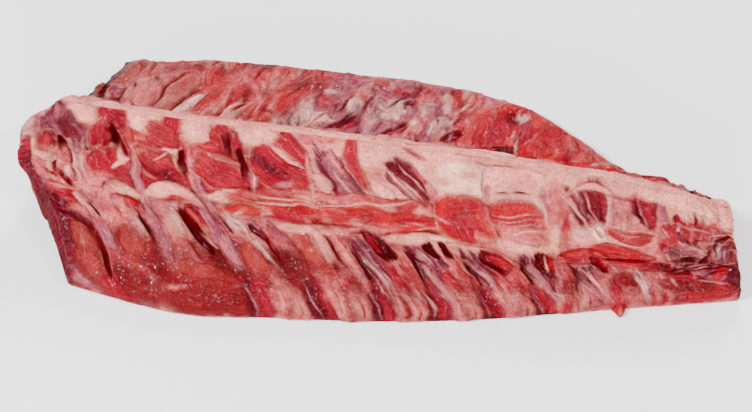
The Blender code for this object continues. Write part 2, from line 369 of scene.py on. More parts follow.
# %% [markdown]
# ## The near flank
# Between the crest and the rib heads lies one wad of muscle for each vertebra, wrapped in silvery
# skin and parted from the next by sinew and fat.  A repeated wad would look stamped, so each has
# its own few ovals: the muscle, the fat over its top, a deep slit beside it and threads across it.
# %% The flank of the backbone, from the shoulder end to the fourth wad
GROUND_ROWS = [
    ("veil", 290, 96, 300, 66, 0, 0, dict(soft=6, power=5)),
    ("brick", 90, 104, 214, 54, 0, 0, dict(soft=7, power=5)), ("pink", 96, 68, 150, 16, 0, 0.2, GROUND),
    ("pink", 300, 72, 260, 14, 0, 0.2, GROUND),
]
FLANK_ROWS = [
    # pale skin between the wads, and the fat of the crest
    ("lilac", 75, 34, 200, 60, 0, 0, dict(soft=8, power=5)),
    ("pink", 20, 30, 60, 50, 0, 0, dict(soft=8, power=4)),
    ("crimson", 104, 31, 134, 42, 0, 0.2, dict(soft=3.5, power=6)),
    ("salmon", 104, 14, 134, 10, 0, 0, dict(soft=3.5)), ("cream", 240, 18, 130, 40, 0, 0.4, BULGE),
    ("cream", 350, 12, 150, 30, 0, 0.2, GROUND), ("grey", 330, 24, 70, 24, 0, 0, dict(soft=6)),
    ("cream", 336, 48, 60, 12, -6, 0.2, MILD), ("cream", 26, 5, 28, 12, 8, 1.4),
    ("cream", 69, 4, 26, 16, 8, 1.2, LOBE), ("cream", 104, 6, 24, 17, -14, 1.2, LOBE),
    ("cream", 138, 5, 30, 15, 12, 1.2, LOBE), ("pink", 33, 20, 18, 12, 80, 0.6, EVEN),
    # shoulder end: torn muscle, the first arch, a slot and pale sinews
    ("plum", 20, 16, 46, 21, 34, 1.8, dict(taper=-0.35, fascia=0.3, crease=0.4, torn=1.4)),
    ("lilac", 12, 7, 24, 3, 26, 0.6), ("maroon", 24, 14, 26, 5, 36, -0.8),
    ("lilac", 22, 20, 22, 2.4, 44, 0.6), ("maroon", 27, 23, 22, 4, 52, -0.8),
    ("lilac", 4, 20, 17, 11, 90, 2.0), ("grey", 5, 22, 10, 4, 80, 0.6, THIN),
    ("maroon", 15, 29, 18, 13, 80, 0.4, WAD), ("crimson", 14, 30, 12, 5, 84, 0.6),
    ("maroon", 2, 39, 26, 9, 96, -1.0), ("crimson", 3, 38, 18, 4, 96, 0.6),
    ("cream", 7, 36, 28, 2.4, 80, 0.8), ("pit", 24, 33, 24, 6, 82, -5.0, SLOT),
    ("pink", 23, 48, 34, 22, 20, 0.4, SOFT), ("cream", 14, 41, 18, 5, 30, 1.4),
    ("cream", 16, 47, 20, 3, 96, 1.2), ("cream", 24, 50, 18, 3, 120, 1.2),
    ("grey", 18, 44, 8, 3, 50, 0.8), ("maroon", 19, 47, 8, 2.4, 110, -1.2),
    ("maroon", 22, 53, 9, 4, 60, -1.4), ("crimson", 14, 51, 9, 3, 30, -0.8),
    ("lilac", 31, 40, 32, 7, 88, 1.2), ("cream", 29, 45, 26, 1.6, 84, 0.8),
    ("cream", 34, 42, 28, 1.6, 92, 0.6), ("plum", 27, 44, 20, 1.6, 88, -0.6),
    # first wad, with a deep cavity above it
    ("crimson", 49, 3, 24, 14, 14, 1.2, HOOD), ("crimson", 56, 9, 16, 9, 50, 0.6, HOOD),
    ("maroon", 49, 9, 14, 2.4, 16, -0.6), ("crimson", 44, 19, 22, 13, 84, 0.4, WAD),
    ("maroon", 52, 23, 28, 12, 76, -3.6, EDGED), ("pit", 54, 23, 26, 7, 74, -5.0, SLOT),
    ("crimson", 47, 20, 14, 5, 80, 0.6), ("cream", 45, 29, 14, 1.2, 30, 0.6, THIN),
    ("crimson", 49, 43, 32, 21, 62, 2.2, WAD), ("crimson", 42, 40, 16, 8, 86, 0.6),
    ("cream", 56, 39, 12, 2.6, 128, 0.8, THIN), ("cream", 57, 37, 9, 2.0, 70, 0.8, THIN),
    ("salmon", 62, 16, 18, 5, 84, 0.6), ("lilac", 66, 50, 52, 7, 84, 1.6, dict(taper=0.25)),
    ("pink", 64, 38, 30, 2.4, 84, 0.8),
    # second wad: a broad triangle with a star of fat in its corner
    ("crimson", 87, 3, 18, 12, 70, 1.0, HOOD), ("crimson", 82, 13, 22, 17, 16, 2.0, HOOD),
    ("salmon", 78, 12, 12, 4, 10, 0.4, SOFT), ("crimson", 75, 31, 28, 17, 60, 1.0, WAD),
    ("crimson", 84, 38, 42, 20, 36, 2.2, WAD), ("cream", 90, 24, 14, 6, 20, 0.8, RAGGED),
    ("cream", 91, 27, 12, 2.2, 66, 0.6, THIN), ("cream", 85, 26, 10, 1.4, 150, 0.6, THIN),
    ("cream", 93, 22, 8, 1.4, 110, 0.6, THIN), ("maroon", 94.5, 31, 19, 5.5, 82, -3.6, SLOT),
    ("cream", 92, 35, 13, 1.0, 62, 0.4, THIN), ("maroon", 82, 42, 26, 6, 36, -0.2, SOFT),
    ("salmon", 74, 27, 12, 4, 60, 0.3, SOFT), ("lilac", 103, 46, 60, 8, 82, 1.6, dict(taper=-0.4)),
    ("pink", 100, 36, 34, 3, 84, 0.6),
    # third wad
    ("crimson", 121, 10, 24, 17, 50, 1.6, HOOD), ("crimson", 111, 17, 14, 7, 10, 1.0, HOOD),
    ("maroon", 122, 12, 14, 6, 70, -2.2), ("pit", 123, 12, 9, 2.4, 70, -1.0),
    ("crimson", 119, 35, 38, 22, 30, 2.2, WAD), ("pink", 114, 22, 26, 1.0, 20, 0.5, THIN),
    ("salmon", 109, 30, 14, 4, 50, 0.2, SOFT), ("maroon", 130.5, 25, 26, 4.5, 86, -3.6, SLOT),
    ("lilac", 137, 34, 44, 6, 85, 1.4), ("cream", 137, 28, 26, 1.4, 86, 0.8, THIN),
    # fourth wad, in two leaves with a white fascia between them
    ("crimson", 161, 12, 28, 15, 42, 1.4, WAD), ("crimson", 153, 27, 38, 27, 34, 2.2, WAD),
    ("maroon", 148, 24, 26, 8, 36, 0, SOFT), ("cream", 157, 15, 30, 2.2, 34, 0.8, THIN),
    # the small lilac oval at 157 mm, 36.5 mm down, is a painted highlight on the lower leaf
    ("lilac", 157, 36.5, 11, 4, -10, 0.4), ("pink", 172, 30, 38, 3.4, 84, 1.0),
    ("salmon", 166, 36, 12, 5, 60, 0.4, SOFT),
]
print(len(FLANK_ROWS), "ovals from the shoulder end to the fourth wad")

# %% The flank from the fifth wad to the loin end
FLANK_ROWS += [
    # fifth wad, mostly under lilac skin, with a red crescent
    ("plum", 182, 15, 22, 11, 50, -0.6, TORN), ("lilac", 193, 26, 36, 20, 54, 1.4, TORN),
    ("plum", 183, 26, 26, 5, 56, -1.4), ("plum", 196, 24, 30, 2.4, 58, -0.8),
    ("plum", 203, 30, 18, 1.8, 62, -0.6), ("pink", 190, 18, 16, 3, 50, 0.6),
    ("maroon", 187, 33, 12, 3, 60, -1.0), ("cream", 193, 30, 22, 1.2, 56, 0.6, THIN),
    ("crimson", 200, 17, 38, 8, 66, 1.8, dict(fascia=0.5, crease=0.4, bend=-1.5, taper=0.3)),
    ("cream", 180, 31, 16, 10, 40, 2.6), ("crimson", 211, 31, 8, 2.4, 60, 0.2),
    ("salmon", 214, 20, 16, 8, 10, 0.4, SOFT),
    # sixth wad, dark and streaked
    ("plum", 232, 23, 38, 20, 48, 0.8, dict(fascia=0.4, crease=0.4, torn=2)),
    ("maroon", 233, 20, 30, 8, 48, -1.0), ("pit", 232, 19, 24, 3, 46, -1.4, SLOT),
    ("maroon", 223, 16, 16, 6, 40, -0.8), ("maroon", 240, 25, 22, 3.4, 58, -1.0),
    ("lilac", 230, 29, 24, 5, 42, 0.8), ("cream", 227, 25, 24, 1.1, 48, 0.6, THIN),
    ("cream", 235, 22, 24, 1.0, 46, 0.5, THIN), ("cream", 236, 31, 18, 1.1, 44, 0.6, THIN),
    ("salmon", 241, 20, 18, 2.0, 55, 0.6), ("pink", 247, 29, 16, 6, 66, 0.6),
    ("cream", 217, 32, 14, 8, 40, 2.2), ("crimson", 235, 3.6, 15, 3.0, 28, -1.2),
    # flat pale plates with a groove between them
    ("ivory", 263, 16, 28, 24, 2, 1.0, dict(power=4, soft=2.5)),
    ("cream", 296, 13, 34, 20, 3, 1.4, dict(power=4)), ("pink", 267, 11, 9, 5, 0, 0, SOFT),
    ("pink", 254, 20, 7, 5, 20, 0, SOFT), ("pink", 300, 12, 16, 8, 0, 0, SOFT),
    ("lilac", 279.5, 22, 10, 4, 92, -0.6), ("grey", 276.5, 16, 26, 1.4, 88, -1.4),
    ("pit", 302, 20, 11, 3.0, 4, -2.0, SLOT), ("maroon", 289, 21.5, 8, 2.2, 0, -1.4),
    ("crimson", 287, 3.6, 34, 1.4, 3, -1.0),
    # seventh: a fan of dark muscle whose sinews meet at a white knot
    ("pink", 321, 28, 40, 16, 84, 0.2, SOFT), ("scarlet", 318, 50, 6, 3, 40, 0.2, SOFT),
    ("scarlet", 328, 40, 16, 4, 84, 0.2, SOFT), ("lilac", 314, 24, 16, 4, 84, 0.2),
    ("crimson", 326, 40, 24, 6, 98, 0.4, SOFT), ("cream", 314, 34, 34, 1.6, 74, 0.8, THIN),
    ("maroon", 343, 20, 38, 15, 74, 0.4, dict(taper=0.45, torn=2)),
    ("maroon", 334, 27, 32, 8, 62, 0.0, TORN), ("crimson", 346, 14, 22, 6, 78, 0.6),
    ("maroon", 338, 24, 28, 2.0, 64, -1.0), ("pit", 346, 22, 28, 1.2, 80, -1.0),
    ("pink", 341, 24, 34, 0.9, 68, 0.5, THIN), ("cream", 334, 28, 26, 1.1, 58, 0.6, THIN),
    ("lilac", 337, 27, 26, 0.9, 60, 0.5, THIN), ("cream", 330, 24, 24, 1.4, 52, 0.8, THIN),
    ("cream", 341, 6, 26, 4, -8, 1.2, dict(bend=5)),
    ("crimson", 341, 3.6, 24, 0.9, -8, -0.5, dict(bend=6, soft=0.5)),
    ("ivory", 347, 45, 12, 8, 60, 1.6, dict(soft=1.8, torn=1.6)),
    ("lilac", 346, 43, 9, 1.2, 70, 0.3, THIN), ("pink", 349, 47, 9, 1.4, 50, 0.3, THIN),
    ("grey", 338, 44, 10, 5, 20, 0.4), ("pink", 357, 26, 34, 9, 86, 0.6),
    ("veil", 364, 22, 26, 9, 88, 0.4, SOFT), ("lilac", 356, 26, 28, 4, 86, 0.6),
    ("pink", 363, 26, 26, 2.4, 88, 0.6),
    # eighth and ninth, narrowing to the loin
    ("maroon", 375, 19, 34, 14, 74, 0.4, dict(torn=1, taper=0.5)), ("crimson", 377, 20, 28, 4, 74, 0.4),
    ("pit", 371, 18, 22, 2.0, 74, -1.4), ("lilac", 373, 20, 26, 0.7, 72, 0.5, THIN),
    ("pink", 384, 20, 28, 5, 82, 0.6, THIN), ("lilac", 386, 20, 22, 5, 84, 0.8),
    ("plum", 393, 18, 13, 5, 88, -1.8), ("pit", 404, 18, 17, 2.4, 92, -1.8),
    ("grey", 399, 19, 18, 3.0, 90, 0.8), ("lilac", 409, 18, 16, 3, 92, 0.4),
    ("cream", 396, 5, 60, 10, 2, 1.0), ("crimson", 366, 10.5, 40, 1.2, 2, -0.8),
    ("crimson", 421, 9, 26, 1.8, 70, -1.0, dict(bend=-3)), ("cream", 414, 8, 16, 6, 40, 1.2, LOBE),
]
print(len(FLANK_ROWS), "ovals on the whole flank")

# %% [markdown]
# ## The saddle
# Along the rib heads runs a long strap of bright muscle, part bare and part under thin skin, with
# knobs of fat before it and two squarish pads at its end.  The strap is one tapering oval and the
# bare places are glazes over it, so that it still reads as one muscle.
# %% The saddle: knobs of fat on the rib heads and the long strap of red muscle
SADDLE_ROWS = [
    ("cream", 53, 55, 24, 8, 4, 2.8, dict(bend=4, crease=0.5)),
    ("cream", 86, 53, 36, 11, 2, 3.4, dict(bend=5, crease=0.6)),
    ("salmon", 88, 57, 24, 3.4, 0, -0.4, dict(bend=3, soft=1.6)), ("crimson", 44, 54, 14, 3, -20, -0.6),
    ("pink", 40, 53, 18, 6, -12, 0.8, SOFT), ("cream", 124, 50, 34, 7, -8, 2.2, FATTY),
    ("ivory", 136, 48.5, 14, 4, 0, 1.4), ("cream", 162, 66, 34, 8, 2, 1.2),
    ("pink", 192, 65, 40, 6, -2, 0.8), ("cream", 232, 64, 46, 10, 0, 2.0, FATTY),
    # the ivory dab at 243 mm, 62 mm down, is a painted highlight on the knob of fat
    ("ivory", 243, 62, 9, 4, 0, 1.4), ("cream", 256, 70, 34, 9, 4, 1.6),
    ("cream", 297, 64, 34, 26, 4, 1.4, dict(soft=3.5, crease=0.2)), ("cream", 316, 56, 36, 6, 112, 1.4),
    # the strap: one long muscle, its upper part under thin skin, its lower part bare
    ("salmon", 186, 50, 132, 22, -2, 2.6, dict(crease=0.6, soft=1.2, torn=1.6, power=3, taper=-0.15)),
    ("scarlet", 124, 58, 28, 6, -6, 1.2, WAD), ("scarlet", 178, 55, 66, 13, -6, 1.4, GLAZE),
    ("crimson", 172, 57, 50, 6, -6, 0.2, dict(soft=2.5, torn=2)),
    ("scarlet", 200, 52, 50, 9, -8, 0.8, GLAZE), ("crimson", 196, 54, 36, 4, -8, 0, FRAYED),
    ("scarlet", 230, 52, 36, 13, -6, 0.8, GLAZE),
    ("crimson", 234, 50, 24, 5, -8, 0, dict(soft=2.5, torn=2)),
    ("salmon", 224, 42, 34, 7, -8, 0.6, SOFT), ("cream", 154, 47, 34, 1.4, 2, 0.5, THIN),
    ("cream", 190, 46, 44, 1.2, -10, 0.6, THIN), ("pink", 182, 42, 24, 5, 0, 0.3, SOFT),
    ("cream", 152, 51, 30, 1.0, -3, 0.4, THIN), ("cream", 222, 40, 26, 1.0, -10, 0.4, THIN),
    ("pink", 204, 60, 26, 5, -6, 0.6, SOFT), ("cream", 247, 46, 20, 1.2, 100, 0.6, THIN),
    ("pink", 173, 44, 12, 1.2, 60, 0.4, THIN),
    # two pads at its end, the second under white stripes
    ("scarlet", 265, 46, 33, 36, 84, 2.6, SHEET), ("crimson", 262, 50, 22, 22, 84, 0.6, GLAZE),
    ("salmon", 274, 40, 12, 20, 80, 0.4, SOFT), ("crimson", 268, 36, 20, 12, -12, 0.2, GLAZE),
    ("pink", 282, 44, 34, 3, 88, 0.4, FRAYED), ("grey", 282.5, 46, 34, 1.2, 88, -1.6),
    ("salmon", 297, 43, 34, 32, 88, 3.0, SHEET), ("pink", 298, 52, 28, 12, 4, 0.3, SOFT),
    ("scarlet", 294, 34, 26, 12, -8, 0.2, GLAZE), ("pink", 298, 36, 26, 1.4, -8, 0.3, THIN),
    ("pink", 300, 41, 24, 1.8, -6, 0.3, THIN), ("pink", 298, 46, 26, 2.4, -4, 0.3, THIN),
    ("cream", 299, 61, 32, 5, 4, 0.8, SOFT), ("cream", 298, 51, 24, 1.6, -8, 0.3, THIN),
    ("salmon", 366, 43, 30, 12, 6, 1.8, dict(fascia=0.5)), ("pink", 364, 40, 22, 1.2, 4, 0.3, THIN),
    ("cream", 352, 51, 42, 1.8, -3, 0.8, THIN),
    # the tail of the muscle
    ("crimson", 330, 66, 36, 14, -18, 3.0, dict(crease=0.4, soft=1.4)),
    ("scarlet", 328, 62, 28, 6, -20, 0.4, GLAZE),
    ("scarlet", 356, 59, 36, 13, 4, 2.6, dict(crease=0.4, soft=1.4, torn=1.2)),
    ("crimson", 350, 62, 24, 5, 0, 0, GLAZE), ("crimson", 370, 73, 44, 15, 4, 1.8, EVEN),
    ("maroon", 390, 80, 32, 12, 12, -1.0, dict(soft=2.5)),
] + scattered(21, 18, ["pink", "cream"], (118, 248), (42, 60), (-12, 16), (3, 8), (0.6, 1.0), 0.3)

print(len(SADDLE_ROWS), "ovals on the saddle")

# %% [markdown]
# ## The near ribs
# A rib is a pale bar under skin, with muscle and dark pits between it and the next.  At the
# shoulder the ribs bulge under red skin and each is its own.  Towards the loin they repeat, so
# loops lay the same slit, strip, sinews and sawn end for each, and only the pits and the last,
# narrowing ribs are listed one by one.
# %% The near row of ribs: the shoulder half, bulging under a thin red skin
SHOULDER_RIBS = [
    ("veil", 4, 86, 40, 8, 94, 0.8, SOFT),
    ("crimson", 15, 65, 18, 15, 10, 1.6, dict(soft=1.6, crease=0.4)),
    ("maroon", 12, 70, 9, 7, 60, -1.6), ("pink", 18, 60, 14, 3, 0, 0.6),
    ("cream", 28, 69, 14, 8, 60, 2.4, FATTY), ("pit", 31, 71, 9, 4, 70, -4.0, SLOT),
    ("maroon", 16, 79, 24, 7, 26, -2.0, MILD), ("orange", 16, 92, 20, 15, 80, 1.6, BULGE),
    ("lilac", 31, 82, 32, 9, 82, 1.4, RIB_SKIN), ("pink", 38, 68, 20, 12, 100, 1.0, SOFT),
    ("pit", 27, 99, 26, 4.0, 82, -4.0, EDGED), ("orange", 48, 87, 20, 17, 84, 1.6, BULGE),
    ("crimson", 58, 65, 15, 11, 4, 2.4, WAD), ("scarlet", 57, 64, 8, 5, 4, 0.4, SOFT),
    ("grey", 55, 77, 10, 5, 80, 0.6, EVEN), ("pit", 60, 78, 15, 4.4, 82, -4.0, SLOT),
    ("lilac", 68, 80, 30, 9, 84, 1.4, RIB_SKIN), ("plum", 70, 76, 14, 5, 86, -0.4, SOFT),
    ("grey", 81, 71, 18, 11, 84, 1.2, RIB_SKIN), ("bone", 76, 78, 20, 8, 80, 0.4, SOFT),
    ("lilac", 84, 70, 12, 2, 70, 0.4, THIN), ("pink", 79, 67, 12, 2, 40, 0.4, THIN),
    ("veil", 86, 78, 12, 4, 70, 0.3, SOFT), ("orange", 80, 92, 20, 12, 84, 1.2, BULGE),
    ("crimson", 94, 67, 14, 11, 74, 1.0, WAD), ("pit", 91, 76, 28, 9, 72, -6.0, SLOT),
    ("crimson", 95, 67, 9, 7, 70, 1.6), ("maroon", 92, 80, 14, 4, 74, 1.2),
    ("cream", 96, 80, 8, 1.2, 60, 0.6, THIN),
    ("lilac", 104, 75, 40, 9, 80, 1.6, dict(soft=2, taper=-0.2, torn=1.6)),
    ("plum", 106, 70, 16, 3, 84, -0.3, SOFT), ("maroon", 111, 68, 13, 2.2, 80, -2.4, SLOT),
    ("grey", 118, 71, 20, 10, 70, 1.0, RIB_SKIN), ("veil", 120, 80, 16, 7, 70, 0.4, SOFT),
    ("orange", 119, 91, 22, 13, 84, 1.4, BULGE), ("pit", 130, 71, 14, 8, 60, -3.6, SLOT),
    ("plum", 130, 70, 9, 4, 50, 2.0), ("lilac", 129, 66, 8, 2.4, 30, 1.0),
    ("maroon", 134, 80, 18, 3.6, 80, -3.0, SLOT), ("crimson", 134, 78, 12, 1.6, 80, 0.8),
    ("grey", 127, 84, 12, 4, 70, 0.6, SOFT), ("lilac", 143, 74, 24, 8, 70, 1.2, dict(soft=2, torn=1.6)),
    ("orange", 157, 80, 24, 14, 80, 1.4, BULGE), ("brick", 146, 90, 28, 9, 84, 0.4, SOFT),
    ("cream", 166, 74, 22, 7, 84, 1.0, MILD), ("maroon", 172, 78, 20, 3, 84, -2.6, SLOT),
    ("crimson", 173, 84, 10, 2, 84, 0.4), ("pink", 178, 80, 34, 5, 86, 0.8, EVEN),
    ("brick", 70, 107, 130, 12, 2, 0.6, SOFT), ("crimson", 96, 103, 34, 6, 4, 0.4, SOFT),
    ("salmon", 40, 100, 24, 4, 20, 0.2, SOFT), ("lilac", 44, 120, 16, 5, 84, 0.4, SOFT),
    ("maroon", 50, 122, 14, 4, 80, -1.0), ("bone", 56, 119, 16, 7, 84, 0.4, SOFT),
    ("pink", 102, 107, 8, 1.4, -20, 0.5), ("brick", 80, 114, 150, 18, 0, 0.4, BULGE),
    ("orange", 20, 108, 20, 12, 60, 0.3, SOFT), ("orange", 84, 100, 26, 9, 10, 0.2, SOFT),
    ("pink", 157, 116, 24, 7, 84, 0.8, SOFT), ("crimson", 167, 97, 13, 6, 84, 0.2),
    ("crimson", 165, 110, 14, 7, 60, 0.2), ("crimson", 128, 120, 18, 8, 84, 0.2, SOFT),
    ("crimson", 30, 118, 22, 12, 70, 0.4, SOFT), ("lilac", 8, 117, 18, 10, 40, 0.6, EVEN),
    ("pink", 64, 108, 6, 1.2, 0, 0.3),
] + scattered(31, 40, ["pink", "salmon", "lilac"], (2, 176), (66, 96), (70, 30), (2, 6), (0.7, 1.3), 0.25)
print(len(SHOULDER_RIBS), "ovals on the near ribs of the shoulder half")

# %% The near row of ribs: the loin half, one pattern for each rib
STRIPS, FIRST_STRIP, STRIP_PITCH = 4, 184, 34.0           # strips of muscle along the ribs, in mm
CUTS, FIRST_CUT, CUT_PITCH = 6, 111, 35.4                 # their sawn ends at the edge


def loin_ribs():
    """For each rib: a dark slit, a brown strip of muscle, pale sinews, a pit of blood deepened with
    painted shade, red marks on the rib and the sawn end of the muscle between two ribs."""
    rows = []
    for k in range(STRIPS):
        s = FIRST_STRIP + STRIP_PITCH * k
        rows += [
            ("pink", s + 27, 92, 42, 13, 86, 1.4, SOFT), ("salmon", s + 29, 96, 26, 12, 84, 0.6, SOFT),
            ("plum", s + 7, 86, 32, 13, 82, -1.0, dict(torn=2, soft=1.4)),
            ("maroon", s + 3, 84, 24, 5, 82, -1.0), ("lilac", s + 8, 84, 22, 1.2, 80, 0.5, THIN),
            ("plum", s + 11, 84, 20, 1.6, 84, -0.6, THIN), ("pit", s, 88, 26, 2.6, 86, -3.0, SLOT),
            ("lilac", s + 9, 104, 32, 9, 76, 1.2, dict(torn=2, soft=1.8)),
            ("grey", s + 9, 102, 30, 2.2, 74, 0.8, DRAWN),
            ("maroon", s + 5, 98, 24, 1.4, 76, -0.8, THIN),
            ("pink", s + 10, 106, 14, 1.0, 74, 0.5, THIN),
            ("crimson", s + 17, 96, 15, 8, 86, 0.6, TORN),
            ("crimson", s + 20, 102, 14, 5, 10, -0.6, TORN), ("salmon", s + 21, 97, 9, 4, 20, 0.8),
            ("cream", s + 19, 108, 15, 2.0, 4, 0.6, dict(soft=1.4)),
            ("brick", s + 24, 108, 16, 10, 80, 0.2, SOFT),
        ]
    # the pits: each rib's own is different
    rows += [
        ("pit", 203, 73, 21, 14, 86, -5.0, dict(power=3)), ("crimson", 200, 71, 14, 5, 86, 1.6),
        ("maroon", 199, 65, 16, 3, -10, -0.6), ("maroon", 221, 79, 12, 9, 60, -2.4, TORN),
        ("lilac", 224, 82, 8, 3, 60, 0.6, THIN), ("pit", 234, 73, 12, 11, 80, -5.0, SLOT),
        ("plum", 236, 82, 10, 7, 70, 0.2, EVEN), ("pit", 244, 72, 14, 5.4, 96, -4.0, SLOT),
        ("cream", 239.5, 76, 16, 1.4, 82, 1.4, THIN), ("pit", 271, 79, 22, 15, 66, -5.4),
        ("crimson", 273, 79, 17, 9, 60, 2.2), ("scarlet", 274, 77, 9, 3, 60, 0.6, SOFT),
        ("crimson", 268, 96, 20, 8, 84, -1.2, TORN), ("pit", 303, 78, 28, 13, 104, -4.6),
        ("crimson", 307, 80, 22, 5, 104, 1.8), ("cream", 303, 82, 18, 1.0, 104, 0.6, THIN),
        ("maroon", 301, 96, 18, 6, 100, -1.0), ("lilac", 306, 94, 16, 3, 100, 0.6, THIN),
        ("pit", 338, 75, 21, 9, 88, -4.6, SLOT), ("crimson", 341, 77, 14, 3.4, 88, 1.6),
    ]
    # dark muscle between the ribs, sawn off with them, and the ribs' own sawn ends
    for k in range(CUTS):
        s = FIRST_CUT + CUT_PITCH * k
        rows += [("bone", s + 20, 120, 30, 17, 90, 0.3, dict(soft=3, torn=1)),
                 ("brick", s + 16, 120, 24, 7, 88, 0.2, SOFT),
                 ("maroon", s + 1, 120, 33, 15, 84, -1.2, dict(taper=-0.25, crease=0.4, torn=1, power=3)),
                 ("crimson", s + 6, 120, 22, 3, 86, 0, SOFT), ("pit", s, 121, 26, 7, 86, 0.2, SOFT),
                 ("crimson", s + 4, 122, 18, 3, 86, 0.2, SOFT),
                 ("lilac", s - 2, 117, 20, 0.7, 84, 0.3, THIN),
                 ("crimson", s + 24, 122, 16, 1.6, 88, -0.3, THIN),
                 ("pink", s + 14, 114, 16, 3.0, 96, 0.4, SOFT)]
    # the last ribs, where the row narrows to the loin
    rows += [
        ("plum", 324, 90, 30, 13, 106, -0.6, RAGGED), ("maroon", 321, 88, 26, 3, 70, -1.4),
        ("pit", 323, 98, 26, 2.0, 66, -1.4), ("cream", 328, 92, 28, 1.2, 70, 0.8, THIN),
        ("cream", 332, 100, 26, 1.8, 74, 0.8, THIN), ("lilac", 326, 104, 24, 5, 72, 0.6),
        ("crimson", 303, 121, 14, 7, 84, 0.4), ("brick", 311, 106, 22, 10, 100, 0.8, SOFT),
        ("bone", 318, 112, 24, 7, 100, 0.4, SOFT), ("brick", 349, 104, 36, 18, 96, 1.4, SOFT),
        ("crimson", 342, 114, 30, 8, 92, 0.6),
        ("scarlet", 342, 128, 16, 12, 90, 5.0, dict(power=1.6, peak=1.4)),
        ("crimson", 341, 120, 16, 6, 90, 0.2, GLAZE),
        ("grey", 362, 100, 46, 7, 88, 1.0, dict(torn=2, soft=1.4)),
        ("cream", 364, 104, 30, 1.2, 86, 0.8, THIN), ("lilac", 366, 98, 44, 3, 88, 0.6),
        ("plum", 361, 88, 14, 2.2, 84, -1.0), ("lilac", 376, 92, 18, 6, 90, 0.4, EVEN),
        ("pink", 352, 116, 20, 8, 84, 0.6, SOFT), ("brick", 388, 100, 30, 28, 14, 1.4, SOFT),
        ("crimson", 390, 92, 26, 12, 16, 0.4, SOFT), ("crimson", 394, 120, 56, 16, -4, 0.8, MILD),
        ("veil", 372, 116, 22, 12, 10, 0.4, SOFT), ("scarlet", 412, 112, 26, 22, 0, 0.4, SOFT),
        ("crimson", 374, 120, 14, 3, 84, -0.4),
    ]
    # threads of skin, and fine furrows
    rows += scattered(41, 34, ["lilac", "pink", "grey"], (176, 400), (74, 114), (80, 14),
                      (3, 8), (0.6, 1.1), 0.35)
    rows += scattered(43, 40, ["crimson", "maroon"], (176, 400), (84, 126), (84, 12),
                      (3, 8), (0.8, 1.6), -0.3)
    return rows


LOIN_RIBS = loin_ribs()
print(len(LOIN_RIBS), "ovals on the near ribs of the loin half")

# %% [markdown]
# ## The cut ends
# At the loin end the saw and the knife leave a rough block of dark muscle with torn sinew over it.
# Beyond both ends the map simply runs on over the cut: what a saw bares, from the crest down, is
# fat, muscle, the canal of the spine, the bone of the vertebra, and to the sides more muscle.  So
# one function lays both cuts, mirrored and scaled, and the ends are as real as the upper skin.
# %% The cut block at the loin end
LOIN_ROWS = [
    ("crimson", 368, 73, 56, 14, 4, 1.8, dict(soft=2.5, torn=1)),
    ("scarlet", 358, 71, 26, 6, 2, 0.2, GLAZE), ("pit", 390, 79, 30, 9, 8, -1.0, SOFT),
    ("crimson", 404, 52, 74, 42, 88, 0.4, dict(soft=2.5)), ("maroon", 402, 64, 34, 30, 10, -0.4, SOFT),
    ("maroon", 418, 40, 50, 10, 100, -0.4, SOFT), ("crimson", 394, 38, 30, 16, 66, 1.6, WAD),
    ("maroon", 410, 40, 34, 12, 112, -0.6, SOFT), ("salmon", 402, 34, 10, 5, 20, 0.4, SOFT),
    ("maroon", 397, 40, 20, 4, 66, -0.6), ("crimson", 414, 28, 34, 9, 108, 1.6, WAD),
    ("salmon", 390, 46, 9, 4, 30, 0.4, SOFT), ("pit", 418, 42, 34, 3.4, 122, -3.0, SLOT),
    ("maroon", 396, 62, 26, 6, 0, -3.4, WAD), ("maroon", 408, 59, 24, 4, 128, -2.8, WAD),
    ("lilac", 388, 62, 17, 9, 96, 2.0, WAD), ("lilac", 402, 52, 14, 6, 30, 1.8, WAD),
    ("grey", 402, 50, 9, 2, 30, 0.6, THIN), ("cream", 410, 58, 13, 2.0, 108, 1.2, THIN),
    ("lilac", 402, 68, 20, 3.4, -24, 1.6), ("pit", 403, 71, 15, 2.4, -24, -2.0, SLOT),
    ("lilac", 405, 75, 16, 4, -30, 1.2), ("cream", 404, 74, 12, 1.0, -30, 0.6, THIN),
    ("maroon", 398, 80, 22, 4, -20, -1.4), ("plum", 416, 54, 20, 7, 100, 0.6),
    ("lilac", 417, 56, 12, 2, 110, 0.6, THIN), ("lilac", 411, 44, 10, 1.4, 110, 0.6, THIN),
    ("lilac", 402, 90, 24, 13, 84, 0.4, dict(soft=2.5, torn=2)), ("crimson", 402, 96, 14, 5, 60, 0.2),
    ("maroon", 410, 84, 18, 4, -50, -1.4), ("brick", 400, 106, 22, 15, 84, 0.8, SOFT),
    ("scarlet", 416, 96, 46, 13, 92, 1.4, EDGED), ("crimson", 416, 98, 34, 9, 92, 0.2, GLAZE),
    ("maroon", 422, 74, 60, 8, 94, -0.3, SOFT), ("pink", 423, 66, 14, 2, 92, 0.8),
    ("maroon", 409, 66, 30, 3, 96, -1.0),
] + scattered(51, 40, ["lilac", "grey", "pink", "maroon"], (384, 422), (28, 100), (100, 40),
              (3, 9), (0.8, 1.6), 0.5)
print(len(LOIN_ROWS), "ovals on the cut block")


